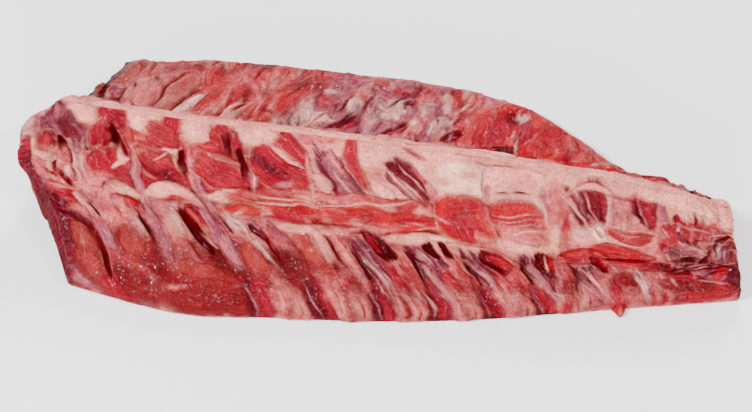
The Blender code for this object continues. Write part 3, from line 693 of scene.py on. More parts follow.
# %% The sawn ends
def sawn_end(at, step, scale):
    """The map runs on over a cut end: step is -1 at the shoulder and 1 at the loin, and scale says
    how tall the cut is.  From the crest down: the spine's tip in fat, wads of muscle, the canal,
    the body of the vertebra in bone, and to the sides the cut muscle between the ribs."""
    rows = [("crimson", at + step * 40 * scale, 30, 90 * scale, 76, 0, 0, dict(soft=3, power=3)),
            ("maroon", at + step * 10 * scale, 90, 40 * scale, 90, 0, 0, dict(soft=3, power=3)),
            ("cream", at + step * 4, 20, 8, 60, 0, 0.3, FRAYED),
            ("bone", at + step * 56 * scale, 5, 34 * scale, 30, 0, 0.8, dict(soft=1.4, power=3)),
            ("cream", at + step * 56 * scale, 5, 26 * scale, 20, 0, 0.2, SOFT),
            ("pit", at + step * 36 * scale, 1, 11 * scale, 12, 0, -2.0, SLOT),
            ("bone", at + step * 20 * scale, 1, 34 * scale, 9, 0, 0.4, EDGED),
            ("cream", at + step * 34 * scale, 52, 7 * scale, 40, 0, 0.6, FRAYED),
            ("bone", at + step * 12 * scale, 84, 9 * scale, 26, 0, 0.6, EDGED)]
    for k in range(4):
        rows += [("salmon", at + step * (14 + 15 * k) * scale, 22 + 6 * k, 9 * scale, 18, 0, 0.4, EVEN),
                 ("pink", at + step * (22 + 15 * k) * scale, 26 + 6 * k, 2.0, 30, 0, -0.3, TORN)]
    return rows


SAWN_ENDS = sawn_end(0, -1, 1.0) + sawn_end(MAP_END, 1, 0.6) + [
    ("cream", 432, 6, 26, 36, 0, 3.5, dict(soft=3, power=3)),
    ("maroon", -10, 92, 26, 74, 0, -3.0, dict(soft=4, power=3)),
    ("lilac", -8, 18, 30, 26, 0, 0.8, EVEN), ("grey", -2, 16, 10, 14, 0, 0.6, SOFT),
    ("maroon", -8, 46, 26, 26, 0, 1.0, EDGED),
    ("crimson", -3, 42, 6, 18, 0, 0.4, SOFT)]
print(len(SAWN_ENDS), "ovals on the two cuts")

# %% [markdown]
# ## The far ribs
# Beyond the crest the ribs lie under salmon skin at the shoulder, under torn whitish skin with
# dark spots in the middle, and in bright muscle towards the loin.  The larger tears are listed one
# by one, and seeded random rows add the many small ones that nobody would want to place.
# %% The far row of ribs
def far_ribs():
    """Ribs under salmon skin at the shoulder, torn whitish skin in the middle, bright red muscle
    towards the loin."""
    rows = [
        ("bone", 66, 92, 170, 80, 0, 0.4, dict(soft=8, power=4)),
        ("salmon", 90, 100, 130, 60, 0, 0, dict(soft=9)), ("orange", 13, 104, 46, 15, 100, 1.0, SOFT),
        ("lilac", 180, 88, 104, 62, 0, 0.4, dict(soft=6, power=3)),
        ("scarlet", 286, 92, 116, 66, 0, 0.6, GROUND),
        # the corner: a dark end of muscle, a lilac knob and whitish skin
        ("crimson", 0, 76, 16, 9, 50, 5.0, dict(crease=0.4)), ("maroon", 3, 74, 9, 4, 50, -1.0),
        ("grey", 7, 73, 16, 10, 20, 0.8, TORN), ("lilac", 17, 76, 13, 10, 10, 1.4, dict(crease=0.6)),
        ("plum", 16, 76, 7, 4, 10, -0.4, SOFT), ("brick", 19, 66, 12, 8, 20, 0.2, SOFT),
        ("maroon", 23.5, 71, 20, 1.6, 84, -1.6),
        # smooth bulges of meat over the first ribs with grooves between them
        ("bone", 37, 82, 34, 26, 84, 2.2, MILD), ("grey", 34, 65, 18, 6, 10, 0.6, RAGGED),
        ("pink", 38, 72, 20, 8, 100, 0.4, SOFT), ("maroon", 53, 78, 34, 2.0, 94, -1.8, EDGED),
        ("bone", 60, 79, 36, 12, 88, 2.2, dict(soft=2.5)), ("orange", 60, 84, 22, 7, 88, 0.4, SOFT),
        ("maroon", 67, 73, 22, 2.2, 88, -2.2, dict(soft=1.4)), ("grey", 72, 70, 22, 9, 84, 1.8, RAGGED),
        ("ivory", 72, 70, 14, 4, 80, 0.5, DRAWN), ("lilac", 70, 76, 14, 3, 76, 0.6),
        ("salmon", 88, 79, 30, 22, 86, 2.4, MILD), ("salmon", 80, 74, 20, 5, 84, 0.2, SOFT),
        ("maroon", 97, 68, 12, 1.8, 60, -1.6), ("cream", 93, 67, 9, 2, 20, 0.8),
        # a ring of gristle
        ("grey", 102, 72, 16, 10, 70, 2.2, dict(crease=0.6)), ("maroon", 102, 74, 8, 4, 70, -2.4),
        ("crimson", 102, 74, 5, 2, 70, 0.6), ("ivory", 98, 72, 12, 1.6, 84, 0.6),
        ("pink", 106, 82, 26, 4, 100, 0.8, TORN), ("scarlet", 114, 71, 9, 4, 90, 1.6),
        ("cream", 110, 66, 12, 3, 0, 0.6), ("salmon", 121, 84, 44, 20, 92, 2.4, MILD),
        ("scarlet", 122, 80, 26, 10, 92, 0.2, SOFT), ("brick", 120, 98, 22, 12, 0, 0.2, SOFT),
        ("scarlet", 66, 102, 14, 8, -40, 0.4, SOFT), ("crimson", 38, 94, 16, 5, -20, 0.2, SOFT),
        ("pink", 100, 108, 26, 8, -60, 0.4, SOFT), ("pink", 84, 100, 26, 3, -40, 0.4, DRAWN),
        ("brick", 50, 108, 40, 10, -10, 0.4, SOFT), ("brick", 84, 112, 24, 8, 10, 0.2, SOFT),
        # whitish torn skin with spots of dark muscle
        ("grey", 146, 70, 26, 17, -10, 1.6, TORN), ("grey", 140, 78, 22, 7, -50, 1.2, TORN),
        ("salmon", 144, 88, 16, 9, -30, 0.8, SOFT), ("grey", 139, 97, 12, 5, -10, 0.8),
        ("maroon", 154, 89, 20, 2.4, 106, -2.0, TORN), ("grey", 162, 86, 20, 10, -56, 1.4, TORN),
        ("pink", 156, 98, 22, 8, -60, 0.8, TORN), ("orange", 155, 69, 8, 4, 10, 0.4, SOFT),
        ("maroon", 168, 74, 13, 11, 60, -2.0, TORN), ("crimson", 170, 73, 8, 5, 60, 1.6),
        ("lilac", 176, 78, 26, 6, -62, 1.6, TORN), ("plum", 167, 88, 20, 2.0, -70, -1.6),
        ("lilac", 184, 72, 22, 9, -66, 1.4, TORN), ("plum", 188, 70, 14, 2.0, -70, -1.0),
        ("grey", 185, 90, 24, 18, -40, 1.4, TORN), ("plum", 179, 98, 16, 2.4, 92, -1.8),
        ("maroon", 188, 97, 8, 6, 0, -1.8, SLOT), ("crimson", 172, 106, 18, 5, -10, -1.0, TORN),
        ("salmon", 162, 108, 22, 8, -30, 0.6, SOFT), ("salmon", 190, 106, 24, 12, -30, 0.8, SOFT),
        ("maroon", 199, 72, 14, 9, 80, -2.4, TORN), ("crimson", 199, 71, 9, 4, 70, 1.4),
        ("pink", 207, 75, 26, 9, -64, 1.6, TORN), ("lilac", 212, 84, 26, 9, -60, 1.4, TORN),
        ("grey", 219, 80, 20, 12, -50, 1.6, TORN), ("plum", 225, 86, 16, 2.4, 100, -1.8),
        ("grey", 208, 101, 24, 9, -50, 1.2, TORN), ("maroon", 206, 110, 16, 7, -20, -1.6, TORN),
        ("grey", 220, 96, 18, 7, -60, 1.0, TORN), ("maroon", 234, 74, 13, 9, 50, -2.4, SLOT),
        ("crimson", 234, 73, 8, 4, 40, 1.6), ("lilac", 246, 69, 18, 6, 0, 1.0, TORN),
        ("salmon", 240, 80, 30, 9, -60, 1.0, SOFT),
        # bright muscle with a few pale tears
        ("salmon", 212, 108, 40, 16, -50, 0.8, SOFT), ("crimson", 222, 95, 16, 7, -50, 0, SOFT),
        ("crimson", 253, 86, 34, 14, -66, 0.4, SOFT), ("maroon", 247, 106, 14, 6, -30, -1.0, SOFT),
        ("grey", 253, 108, 12, 8, -50, 0.8, TORN), ("maroon", 269, 71, 15, 8, 20, -2.4, TORN),
        ("grey", 271, 80, 24, 2.2, -60, 1.0, TORN), ("pink", 265, 84, 20, 3, -60, 0.8, TORN),
        ("crimson", 266, 94, 26, 8, -60, 0.4, SOFT), ("scarlet", 286, 90, 50, 22, -70, 1.6, MILD),
        ("pink", 300, 78, 16, 1.6, -70, 0.5, TORN), ("crimson", 307, 86, 30, 7, -76, -0.8, EVEN),
        ("salmon", 316, 90, 40, 11, 96, 1.0, SOFT), ("pink", 312, 108, 14, 4, 60, 0.4, SOFT),
        ("veil", 332, 90, 44, 16, 96, 0.8, SOFT), ("pink", 328, 78, 22, 4, -80, 0.6, TORN),
    ]
    # skin along the ribs: pale sparkling crests and darker furrows
    rows += scattered(61, 36, ["pink", "salmon", "bone"], (0, 134), (64, 124), (-64, 12),
                      (10, 26), (1.6, 4), 0.5, soft=1.6)
    rows += scattered(62, 30, ["crimson", "brick"], (0, 134), (62, 124), (-60, 16),
                      (6, 16), (0.9, 1.8), -0.5)
    rows += scattered(63, 60, ["plum", "maroon", "lilac", "salmon"], (132, 232), (64, 122), (-56, 18),
                      (4, 12), (0.9, 2.2), -0.7, torn=2.0)
    rows += scattered(64, 44, ["lilac", "grey", "pink"], (130, 240), (62, 122), (-58, 12),
                      (6, 15), (1.6, 3.6), 0.4, soft=1.6)
    rows += scattered(65, 36, ["salmon", "pink", "crimson"], (226, 350), (62, 122), (-64, 16),
                      (4, 14), (0.9, 2.0), 0.4)
    return rows


FAR_RIBS = far_ribs()
print(len(FAR_RIBS), "ovals on the far ribs")

# %% [markdown]
# ## The underside
# Turned over, the rack shows the inside of the rib cage: a thin pink lining over pale ribs.  It is
# regular there, so a loop lays one rib, the muscle beside it and half a vertebra at a time.
# %% The underside
RIBS_BELOW = 12


def under_ribs():
    """Inside of the rib cage: pale ribs under a pink lining, with red muscle between them, and the
    sawn bodies of the vertebrae in the middle."""
    rows = [("brick", 213, 203, 470, 134, 0, 0, dict(power=12, soft=3))]
    for k in range(RIBS_BELOW):
        s = 1000 * (FIRST_RIB + PITCH * k)
        rows += [("pink", s, 172, 72, 13, 90, 0.9, EVEN), ("cream", s, 168, 58, 4, 90, 0.4, EVEN),
                 ("crimson", s + 18, 170, 58, 5, 90, -0.4, dict(torn=3)),
                 ("veil", s, 238, 28, 30, 90, 0.3, SOFT),
                 ("cream", s + 18, 238, 34, 5, 90, 0.6)]
    return rows


UNDER_ROWS = under_ribs()
print(len(UNDER_ROWS), "ovals on the underside")

# %% [markdown]
# ## The skin as closed grids
# A box with gridded faces is the simplest closed grid.  Its rims are rounded like a bar of soap,
# and each of its points then goes through the formula of the form.  The near side and the far side
# of the crest are such boxes, and each is cut in two halfway, so that cells can be finer than a
# millimetre.  On the underside the points are merged in blocks, which keeps the grid closed and
# saves faces where little shows.
# %% Grid of the box
def box_shell(sizes):
    """Corners and quads of the six gridded faces of a box, faces outward, as whole numbers."""
    quads = []
    for axis in range(3):
        a, b = (axis + 1) % 3, (axis + 2) % 3
        i, j = np.meshgrid(np.arange(sizes[a]), np.arange(sizes[b]), indexing="ij")
        for level in (0, sizes[axis]):
            corners = np.zeros((i.size, 4, 3), int)
            turn = ((0, 0), (1, 0), (1, 1), (0, 1)) if level else ((0, 0), (0, 1), (1, 1), (1, 0))
            for c, (di, dj) in enumerate(turn):
                corners[:, c, a] = i.ravel() + di
                corners[:, c, b] = j.ravel() + dj
                corners[:, c, axis] = level
            quads.append(corners)
    quads = np.concatenate(quads)
    corners, index = np.unique(quads.reshape(-1, 3), axis=0, return_inverse=True)
    return corners, index.reshape(-1, 4)


print("a box of 2 x 2 x 2 cells has", len(box_shell((2, 2, 2))[0]), "points")

# %% Coarser cells underneath
BLOCK = (3, 5)                # cells merged on the underside, along and across


def merge_underside(corners, quads, sizes):
    """Every inner point of the lower face moves to the middle of its block, and quads that end up
    with fewer than three corners are dropped."""
    inner = (corners[:, 2] == 0)
    for axis in (0, 1):
        inner &= (corners[:, axis] > 0) & (corners[:, axis] < sizes[axis])
    target = corners.copy()
    for axis in (0, 1):
        block = BLOCK[axis]
        snapped = (corners[:, axis] // block) * block + block // 2
        target[:, axis] = np.where(inner, np.clip(snapped, 1, sizes[axis] - 1), corners[:, axis])
    merged, index = np.unique(target, axis=0, return_inverse=True)
    quads = index.reshape(-1)[quads]
    keep = sum((quads[:, c] != quads[:, (c + 1) % 4]).astype(int) for c in range(4)) >= 3
    keep &= (quads[:, 0] != quads[:, 2]) & (quads[:, 1] != quads[:, 3])
    return merged, quads[keep]


# %% [markdown]
# ## Rounded rims
# A knife leaves no sharp edge on soft meat.  A bevel on the finished mesh would smear the painted
# map, so the box itself is rounded before it goes through the formula.
# %% Rounded rims
RIM = 0.0034                  # how far the cut rims are rounded


def rounded(share, radius):
    """Points of a box with its edges rounded: each coordinate is a share of the box with a radius,
    and what lies outside the box shrunk by the radii is pulled back onto an ellipsoid.  The middle
    coordinate stays flat at zero, the crest, where the two sides meet."""
    inner = [np.clip(x, r, 1 - r) for x, r in zip(share, radius)]
    inner[1] = np.minimum(share[1], 1 - radius[1])
    out = np.stack([(x - i) / r for x, i, r in zip(share, inner, radius)])
    length = np.maximum(np.sqrt((out**2).sum(0)), 1e-9)
    out = out / length * np.abs(out).max(0)
    return [i + o * r for i, o, r in zip(inner, out, radius)]


corner = rounded(np.ones((3, 1)), (0.1, 0.1, 0.1))
print("with a radius of 0.1 the corner at 1 moves to", round(float(corner[0][0]), 3))


# %% Normals and averages
def face_normals(points, quads):
    """Normal of each quad times its area: half the cross product of its diagonals."""
    diagonals = points[quads[:, 2]] - points[quads[:, 0]], points[quads[:, 3]] - points[quads[:, 1]]
    return 0.5 * np.cross(*diagonals)


def gather(values, quads, count):
    """Sum of a value over the quads that meet at each point."""
    return np.bincount(quads.ravel(), np.repeat(values, 4), count)


def point_normals(points, quads):
    """Mean of the neighbouring faces' normals, weighted by area."""
    flat = face_normals(points, quads)
    total = np.stack([gather(flat[:, axis], quads, len(points)) for axis in range(3)], -1)
    return total / np.maximum(np.linalg.norm(total, axis=1, keepdims=True), 1e-12)


def smoothed(values, quads, rounds):
    """Values averaged over the neighbouring quads, several times."""
    weight = gather(np.ones(len(quads)), quads, len(values))
    for _ in range(rounds):
        values = gather(values[quads].mean(1), quads, len(values)) / weight
    return values


# %% [markdown]
# ## From arrays to a mesh
# The mesh carries the painted map as attributes, one value for each point, so it needs no image and
# no unwrapping.  It also says how wet each place is: the cut muscle is, the sawn rib ends and both
# sawn ends of the rack have dried.
# %% From arrays to a mesh
DRYING, DRY = 114, 121                    # mm down from the crest: the skin dries towards the rib ends
RIM_DRIED, ENDS_DRIED = 0.85, 0.75        # share of the wet film lost there and on the sawn ends
END_BLUR = 3                              # mm beyond the end where the sawn face is as dry as it gets


def make_mesh(name, points, quads, chart, material, cavity, shared):
    """A smooth mesh from arrays, with the painted map as attributes; a quad may repeat a corner
    where it is a triangle.  Edges of the shared, hidden walls are sharp, so that the shading of the
    skin doesn't bend there."""
    mesh = bpy.data.meshes.new(name)
    faces = [tuple(dict.fromkeys(face)) for face in quads.tolist()]
    mesh.from_pydata(points.tolist(), [], faces)
    sawn = step_up(-chart.s, 0, END_BLUR) + step_up(chart.s, MAP_END, MAP_END + END_BLUR)
    wet = (1 - RIM_DRIED * step_up(chart.t, DRYING, DRY)) * (1 - ENDS_DRIED * sawn)
    for key, kind, field, values in (("flesh", "FLOAT_COLOR", "color", chart.flesh),
                                     ("streak", "FLOAT_COLOR", "color", chart.streak),
                                     ("cavity", "FLOAT", "value", cavity),
                                     ("wet", "FLOAT", "value", wet),
                                     ("fibre", "FLOAT_VECTOR", "vector", chart.fibre())):
        layer = mesh.attributes.new(key, kind, "POINT")
        layer.data.foreach_set(field, np.ascontiguousarray(values, np.float32).ravel())
    mesh.materials.append(material)
    mesh.shade_smooth()
    ends = np.empty(2 * len(mesh.edges), np.int32)
    mesh.edges.foreach_get("vertices", ends)
    sharp = mesh.attributes.new("sharp_edge", "BOOLEAN", "EDGE")
    sharp.data.foreach_set("value", shared[ends.reshape(-1, 2)].all(1))
    piece = bpy.data.objects.new(name, mesh)
    bpy.context.scene.collection.objects.link(piece)
    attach(piece, "root")
    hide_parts("rack")
    triangles = sum(len(face) - 2 for face in faces)
    print(f"{name}: {len(points)} points, {triangles} triangles")
    return piece


# %% [markdown]
# ## Raw meat as a material
# Muscle, fat, the lilac skin of the ribs, cartilage and blood are one wet surface whose colour
# changes from place to place.  A material for each would meet along jagged lines, so there is one:
# the map gives it the flesh and streak colours, and noise in true millimetres draws the fibres,
# the veins in the fat, the stains and the flecks.
# %% One function that adds a node
def node(tree, kind, settings=(), inputs=(), output=0):
    """Adds a node with its settings and its inputs, each a value or another node's socket, and
    returns one of its outputs."""
    item = tree.nodes.new(kind)
    for key, value in dict(settings).items():
        setattr(item, key, value)
    for key, value in dict(inputs).items():
        if isinstance(value, bpy.types.NodeSocket):
            tree.links.new(value, item.inputs[key])
        else:
            item.inputs[key].default_value = value
    return item.outputs[output]


# kinds and settings of the nodes used most; a mix has its share at input 0, its two colours at 6
# and 7 and the mixed colour at output 2
NOISE = ("ShaderNodeTexNoise", {})
MIX = ("ShaderNodeMix", {"data_type": "RGBA"})
TIMES = ("ShaderNodeMath", {"operation": "MULTIPLY"})
PLUS = ("ShaderNodeMath", {"operation": "ADD"})
RANGE = ("ShaderNodeMapRange", {"interpolation_type": "SMOOTHSTEP"})

# %% The colour of raw pork
FLECK_AND_GLINT, BLUSH = srgb("#F0A093"), srgb("#C66C66")       # specks of fat that double as painted glints, and blood in the fat
STAIN, VEIN = srgb("#7E181E"), srgb("#8E2226")        # blood on the skin, and in its vessels
HOLLOW_SHADE, RIDGE_HIGHLIGHT = srgb("#500208"), srgb("#E08670")      # painted shade for hollows, and painted highlight for ridges


def pork_colour(tree, place, cavity, bundles, lumps):
    """The map's flesh colour with streaks along the fibres, then flecks of fat that double as painted
    glints, pink patches in the fat, stains, veins, painted shade in the hollows and a painted
    highlight on the ridges, each mixed in by a share from 0 to 1.  A noise whose scale is 1000 / x
    has lumps of x mm."""
    flesh = node(tree, "ShaderNodeAttribute", {"attribute_name": "flesh"}, output="Color")
    veined = flesh.node.outputs["Alpha"]
    streak = node(tree, "ShaderNodeAttribute", {"attribute_name": "streak"}, output="Color")
    streaky = streak.node.outputs["Alpha"]
    broad = node(tree, *NOISE, {"Vector": place, "Scale": 1000 / 11, "Detail": 3})
    grit = node(tree, *NOISE, {"Vector": place, "Scale": 1000 / 1.4, "Detail": 3, "Roughness": 0.6})

    # streaks along the fibres, and pale flecks: specks of fat, partly painted glints
    lines = node(tree, *RANGE, {"Value": bundles, "From Min": 0.50, "From Max": 0.72})
    lines = node(tree, *TIMES, {0: lines, 1: streaky})
    colour = node(tree, *MIX, {0: lines, 6: flesh, 7: streak}, output=2)
    flecks = node(tree, *RANGE, {"Value": grit, "From Min": 0.68, "From Max": 0.76, "To Max": 0.6})
    flecks = node(tree, *TIMES, {0: flecks, 1: streaky})
    colour = node(tree, *MIX, {0: flecks, 6: colour, 7: FLECK_AND_GLINT}, output=2)
    # fat turns pink in patches
    blush = node(tree, *NOISE, {"Vector": place, "Scale": 1000 / 5.5, "Detail": 4, "Roughness": 0.72,
                                "Distortion": 0.6})
    flush = node(tree, *RANGE, {"Value": blush, "From Min": 0.42, "From Max": 0.62, "To Max": 0.85})
    flush = node(tree, *TIMES, {0: flush, 1: veined})
    colour = node(tree, *MIX, {0: flush, 6: colour, 7: BLUSH}, output=2)
    # blood stains, and fine veins where a noise crosses one half
    stain = node(tree, *RANGE, {"Value": lumps, "From Min": 0.56, "From Max": 0.70, "To Max": 0.5})
    bloody = node(tree, *RANGE, {"Value": broad, "From Min": 0.42, "From Max": 0.6})
    stain = node(tree, *TIMES, {0: stain, 1: bloody})
    colour = node(tree, *MIX, {0: stain, 6: colour, 7: STAIN}, output=2)
    winding = node(tree, *NOISE, {"Vector": place, "Scale": 1000 / 7, "Detail": 2, "Distortion": 0.8})
    vein = node(tree, "ShaderNodeMath", {"operation": "COMPARE"}, {0: winding, 1: 0.5, 2: 0.010})
    vein = node(tree, *TIMES, {0: node(tree, *TIMES, {0: vein, 1: veined}), 1: 0.45})
    colour = node(tree, *MIX, {0: vein, 6: colour, 7: VEIN}, output=2)
    # lighter and darker patches at random, then painted shade in the hollows and a painted highlight on
    # the ridges
    patch = node(tree, *RANGE, {"Value": broad, "From Min": 0.3, "From Max": 0.7,
                                "To Min": 0.80, "To Max": 1.16})
    grain = node(tree, *NOISE, {"Vector": place, "Scale": 1000 / 0.9, "Detail": 2, "Roughness": 0.6})
    speckle = node(tree, *RANGE, {"Value": grain, "From Min": 0.3, "From Max": 0.7,
                                  "To Min": 0.74, "To Max": 1.26})
    patch = node(tree, *TIMES, {0: patch, 1: speckle})
    colour = node(tree, "ShaderNodeHueSaturation", {}, {"Color": colour, "Value": patch})
    # painted shade where a point lies below its surroundings, painted highlight where it stands above
    # them
    hollow = node(tree, *RANGE, {"Value": cavity, "From Min": -0.15, "From Max": -1.6, "To Max": 0.78})
    colour = node(tree, *MIX, {0: hollow, 6: colour, 7: HOLLOW_SHADE}, output=2)
    ridge_highlight = node(tree, *RANGE, {"Value": cavity, "From Min": 0.20, "From Max": 1.2, "To Max": 0.14})
    return node(tree, *MIX, {0: ridge_highlight, 6: colour, 7: RIDGE_HIGHLIGHT}, output=2)


# %% The wet film
def wet_film(tree, shader, place, cavity, bundles, lumps):
    """Roughness and bump follow the fibres and lumps.  The film is a coat with drops of 2.9 mm; its
    weight is a share that falls in the hollows, times beads, times how wet the map says it is."""
    gloss = node(tree, *RANGE, {"Value": lumps, "From Min": 0.35, "From Max": 0.65,
                                "To Min": 0.26, "To Max": 0.50})
    tree.links.new(gloss, shader.inputs["Roughness"])
    fibres = node(tree, *TIMES, {0: bundles, 1: 0.7})
    height = node(tree, *PLUS, {0: fibres, 1: node(tree, *TIMES, {0: lumps, 1: 0.9})})
    bump = node(tree, "ShaderNodeBump", {}, {"Strength": 0.8, "Distance": 0.0014, "Height": height})
    tree.links.new(bump, shader.inputs["Normal"])
    drops = node(tree, *NOISE, {"Vector": place, "Scale": 1000 / 2.9, "Detail": 1, "Roughness": 0.5})
    sparkle = node(tree, "ShaderNodeBump", {}, {"Strength": 1.0, "Distance": 0.0020, "Height": drops})
    tree.links.new(sparkle, shader.inputs["Coat Normal"])
    film = node(tree, *RANGE, {"Value": cavity, "From Min": -1.2, "From Max": 0.0,
                               "To Min": 0.10, "To Max": 0.46})
    wet = node(tree, "ShaderNodeAttribute", {"attribute_name": "wet"}, output="Fac")
    beads = node(tree, *NOISE, {"Vector": place, "Scale": 1000 / 2.0, "Detail": 2, "Roughness": 0.6})
    beaded = node(tree, *RANGE, {"Value": beads, "From Min": 0.50, "From Max": 0.64,
                                 "To Min": 0.25, "To Max": 1.0})
    film = node(tree, *TIMES, {0: film, 1: beaded})
    tree.links.new(node(tree, *TIMES, {0: film, 1: wet}), shader.inputs["Coat Weight"])
    shader.inputs["Coat Roughness"].default_value = 0.12


# %% Raw pork
def raw_pork():
    """Fresh raw pork, cut and wet: red fibres a millimetre or two apart, veined fat, a glossy film.
    Light goes a little way into it and comes out redder."""
    material = bpy.data.materials.new("raw_pork")
    material.use_nodes = True
    tree = material.node_tree
    shader = tree.nodes["Principled BSDF"]
    place = node(tree, "ShaderNodeTexCoord", output="Object")
    fibre = node(tree, "ShaderNodeAttribute", {"attribute_name": "fibre"}, output="Vector")
    cavity = node(tree, "ShaderNodeAttribute", {"attribute_name": "cavity"}, output="Fac")
    # bundles of fibres are 1.7 mm wide and ten times as long; lumps are 3.6 mm
    stretched = node(tree, "ShaderNodeMapping", {}, {"Vector": fibre, "Scale": (0.10, 1.0, 1.0)})
    bundles = node(tree, *NOISE, {"Vector": stretched, "Scale": 1000 / 1.7, "Detail": 3,
                                  "Roughness": 0.62})
    lumps = node(tree, *NOISE, {"Vector": place, "Scale": 1000 / 3.6, "Detail": 4, "Roughness": 0.6})
    colour = pork_colour(tree, place, cavity, bundles, lumps)
    tree.links.new(colour, shader.inputs["Base Color"])
    wet_film(tree, shader, place, cavity, bundles, lumps)
    shader.inputs["Subsurface Weight"].default_value = 0.12
    shader.inputs["Subsurface Radius"].default_value = (1.0, 0.35, 0.25)
    shader.inputs["Subsurface Scale"].default_value = 0.002
    shader.inputs["IOR"].default_value = 1.36
    shader.inputs["Specular IOR Level"].default_value = 0.02
    return material


pork = raw_pork()
print("raw pork has", len(pork.node_tree.nodes), "nodes")

# %% [markdown]
# ## The two sides
# Each side is gridded, painted from the rows above and displaced: broad swells of ribs and wads
# first, then the ovals' own heights, then fibres and lumps.  How far a point lies below its
# surroundings tells the material where to paint shade into the hollows, and how far it stands
# above them, where to paint a highlight on the ridges.
# %% Swells
RIB_SWELL, HEAD_SWELL, WAD_SWELL = 2.4, 2.8, 2.2      # mm
WAD_LEAN = 0.030              # how far a wad leans towards the loin, in metres per girth
SWELL_END = 0.030             # the last stretch at the loin end is flat


def swell(s, girth):
    """Broad relief in mm: ribs, rib heads and wads are cosine waves that repeat with every
    vertebra, each between its own lines of the girth; wads lie halfway between ribs."""
    phase = 2 * np.pi * (s - FIRST_RIB) / PITCH
    lean = 2 * np.pi * WAD_LEAN * (girth - FLANK) / PITCH
    ribs = RIB_SWELL * np.cos(phase) * window(girth, RISE, 0.92, 0.09)
    heads = HEAD_SWELL * np.cos(phase) * window(girth, HEADS - 0.03, HEADS + 0.03, 0.08)
    wads = WAD_SWELL * np.cos(phase + np.pi - lean) * window(girth, FLANK - 0.02, FOOT, 0.08)
    return (ribs + heads + wads) * window(s, -1, LENGTH - SWELL_END, SWELL_END)


print("swell at the rib heads:", swell(FIRST_RIB + PITCH * np.array([0, 0.5, 1]), HEADS).round(2), "mm")

# %% [markdown]
# ## One block
# A block is a quarter of the rack.  Neighbouring blocks paint the same map from the same seed, so
# colour and relief run on from one to the next, and the cut walls meet inside the meat.
# %% One block of the rack
DEEP = 26                     # cells from the underside to the upper skin
OVERLAP = 0.0005              # how far blocks reach past their shared cut, as a share of the length
MOST_ROUNDED = 0.49           # a thin place is rounded by no more than this share of its thickness
SWELLS, LUMPS, FIBRES = 0.7, 0.6, 0.28    # share of the swells, and height of lumps and fibres in mm
LUMP, FIBRE = 9, 1.6          # size of a lump and width of a bundle of fibres, in mm
ROUNDS = 14                   # averaging over neighbours that says how high the surroundings are
TOUCHES = 0.0015              # the underside below this height rests on the floor and stays flat
CREST_CALM = 0.012            # girth share beside the crest where the relief sets in


def block_of_rack(name, side, start, end, cells_along, cells_across, seed, rows):
    """A closed box on one side of the crest (-1 near, 1 far) and between two shares of the length,
    painted and displaced along its normals."""
    sizes = (cells_along, cells_across, DEEP)
    corners, quads = merge_underside(*box_shell(sizes), sizes)
    u, v, w = (corners / sizes).T
    # a cut shared with the next block is not a sawn end
    cuts = (start > 0, end < 1)
    start, end = start - OVERLAP * cuts[0], end + OVERLAP * cuts[1]
    u = start + (end - start) * u
    v = v if side > 0 else 1 - v
    first, last = corners[:, 0] == 0, corners[:, 0] == cells_along
    shared = (corners[:, 1] == (0 if side > 0 else cells_across))
    shared |= first & cuts[0] | last & cuts[1]
    inside = shared[quads].all(1)
    thick = np.linalg.norm(top_line(u, side * v) - underside(u, side * v), axis=-1)
    radius = RIM / LENGTH, RIM / GIRTH, np.minimum(RIM / thick, MOST_ROUNDED)
    u, girth, w = rounded((u, v, w), radius)
    girth = np.maximum(girth, 1e-6)
    points = solid(u, side * girth, w)
    lower, down = corners[:, 2] == 0, thick * (1 - w)
    # the map goes on over the sawn ends and over the rib ends, down to the underside and under it
    outer = (corners[:, 1] == (cells_across if side > 0 else 0)) | (corners[:, 2] == DEEP)
    s, t = u * LENGTH, GIRTH * girth + EDGE * (1 - w) * outer
    s -= down * (first & ~lower & (not cuts[0]))
    s += down * (last & ~lower & (not cuts[1]))
    t[lower] = GIRTH + EDGE + (1 - girth[lower]) * GIRTH
    chart = Map(s, t, seed)
    chart.paint_all(rows)
    # relief in mm; a fibre is four times as long as it is wide, and shows where meat is streaked
    fibres = cloud(*(1000 * chart.fibre().T[:2] * [[0.25], [1]]), FIBRE, seed + 200)
    lumps = cloud(1000 * s, 1000 * t, LUMP, seed + 220, 4)
    relief = (SWELLS * swell(s, girth) + LUMPS * lumps) * ~lower + chart.relief
    relief = relief + FIBRES * fibres * chart.streak[:, 3]
    relief[lower & (points[:, 2] < TOUCHES)] = 0
    skin = quads[~inside]
    # cavity: how far a point lies below its surroundings; the material paints shade into hollows and a
    # highlight onto ridges from it
    cavity = chart.relief - smoothed(chart.relief, skin, ROUNDS)
    normals = point_normals(points, skin)
    points = points + normals * (relief * step_up(girth, 0, CREST_CALM))[:, None] / 1000
    points[:, 2] = np.maximum(points[:, 2], 0)
    return make_mesh(name, points, quads, chart, pork, cavity, shared)


# %% [markdown]
# ## The whole rack
# The far flank hardly shows, so it takes the near flank's ovals, moved along a little so that the
# two sides don't mirror each other.  Those nearest the crest stay out: a strip of fat lies there.
# %% The four blocks
FAR_SHIFT = 17                # how far they are moved towards the loin, in mm
CREST_STRIP = 15              # and how near the crest they are left out
CREST_FAT = [
    ("cream", 215, 0, 440, 12, 0, 0.6, dict(power=6, soft=2)), ("pink", 120, 6, 90, 3, 1, 0.3, SOFT),
    ("cream", 236, 1.5, 176, 3.4, 0.4, 1.6, dict(crease=0.4, torn=0.3, power=4)),
    ("crimson", 262, 3.8, 80, 0.8, 0.6, -0.6, THIN),
]
FAR_FLANK = [(finish, (s + FAR_SHIFT) % MAP_END, t, *rest) for finish, s, t, *rest in FLANK_ROWS
             if t > CREST_STRIP]
BOTH = LOIN_ROWS + SAWN_ENDS + UNDER_ROWS             # what both sides share
NEAR = GROUND_ROWS + FLANK_ROWS + SADDLE_ROWS + SHOULDER_RIBS + LOIN_RIBS + BOTH
FAR = FAR_FLANK + CREST_FAT + SADDLE_ROWS + FAR_RIBS + BOTH
print(len(NEAR), "ovals on the near side,", len(FAR), "on the far side")
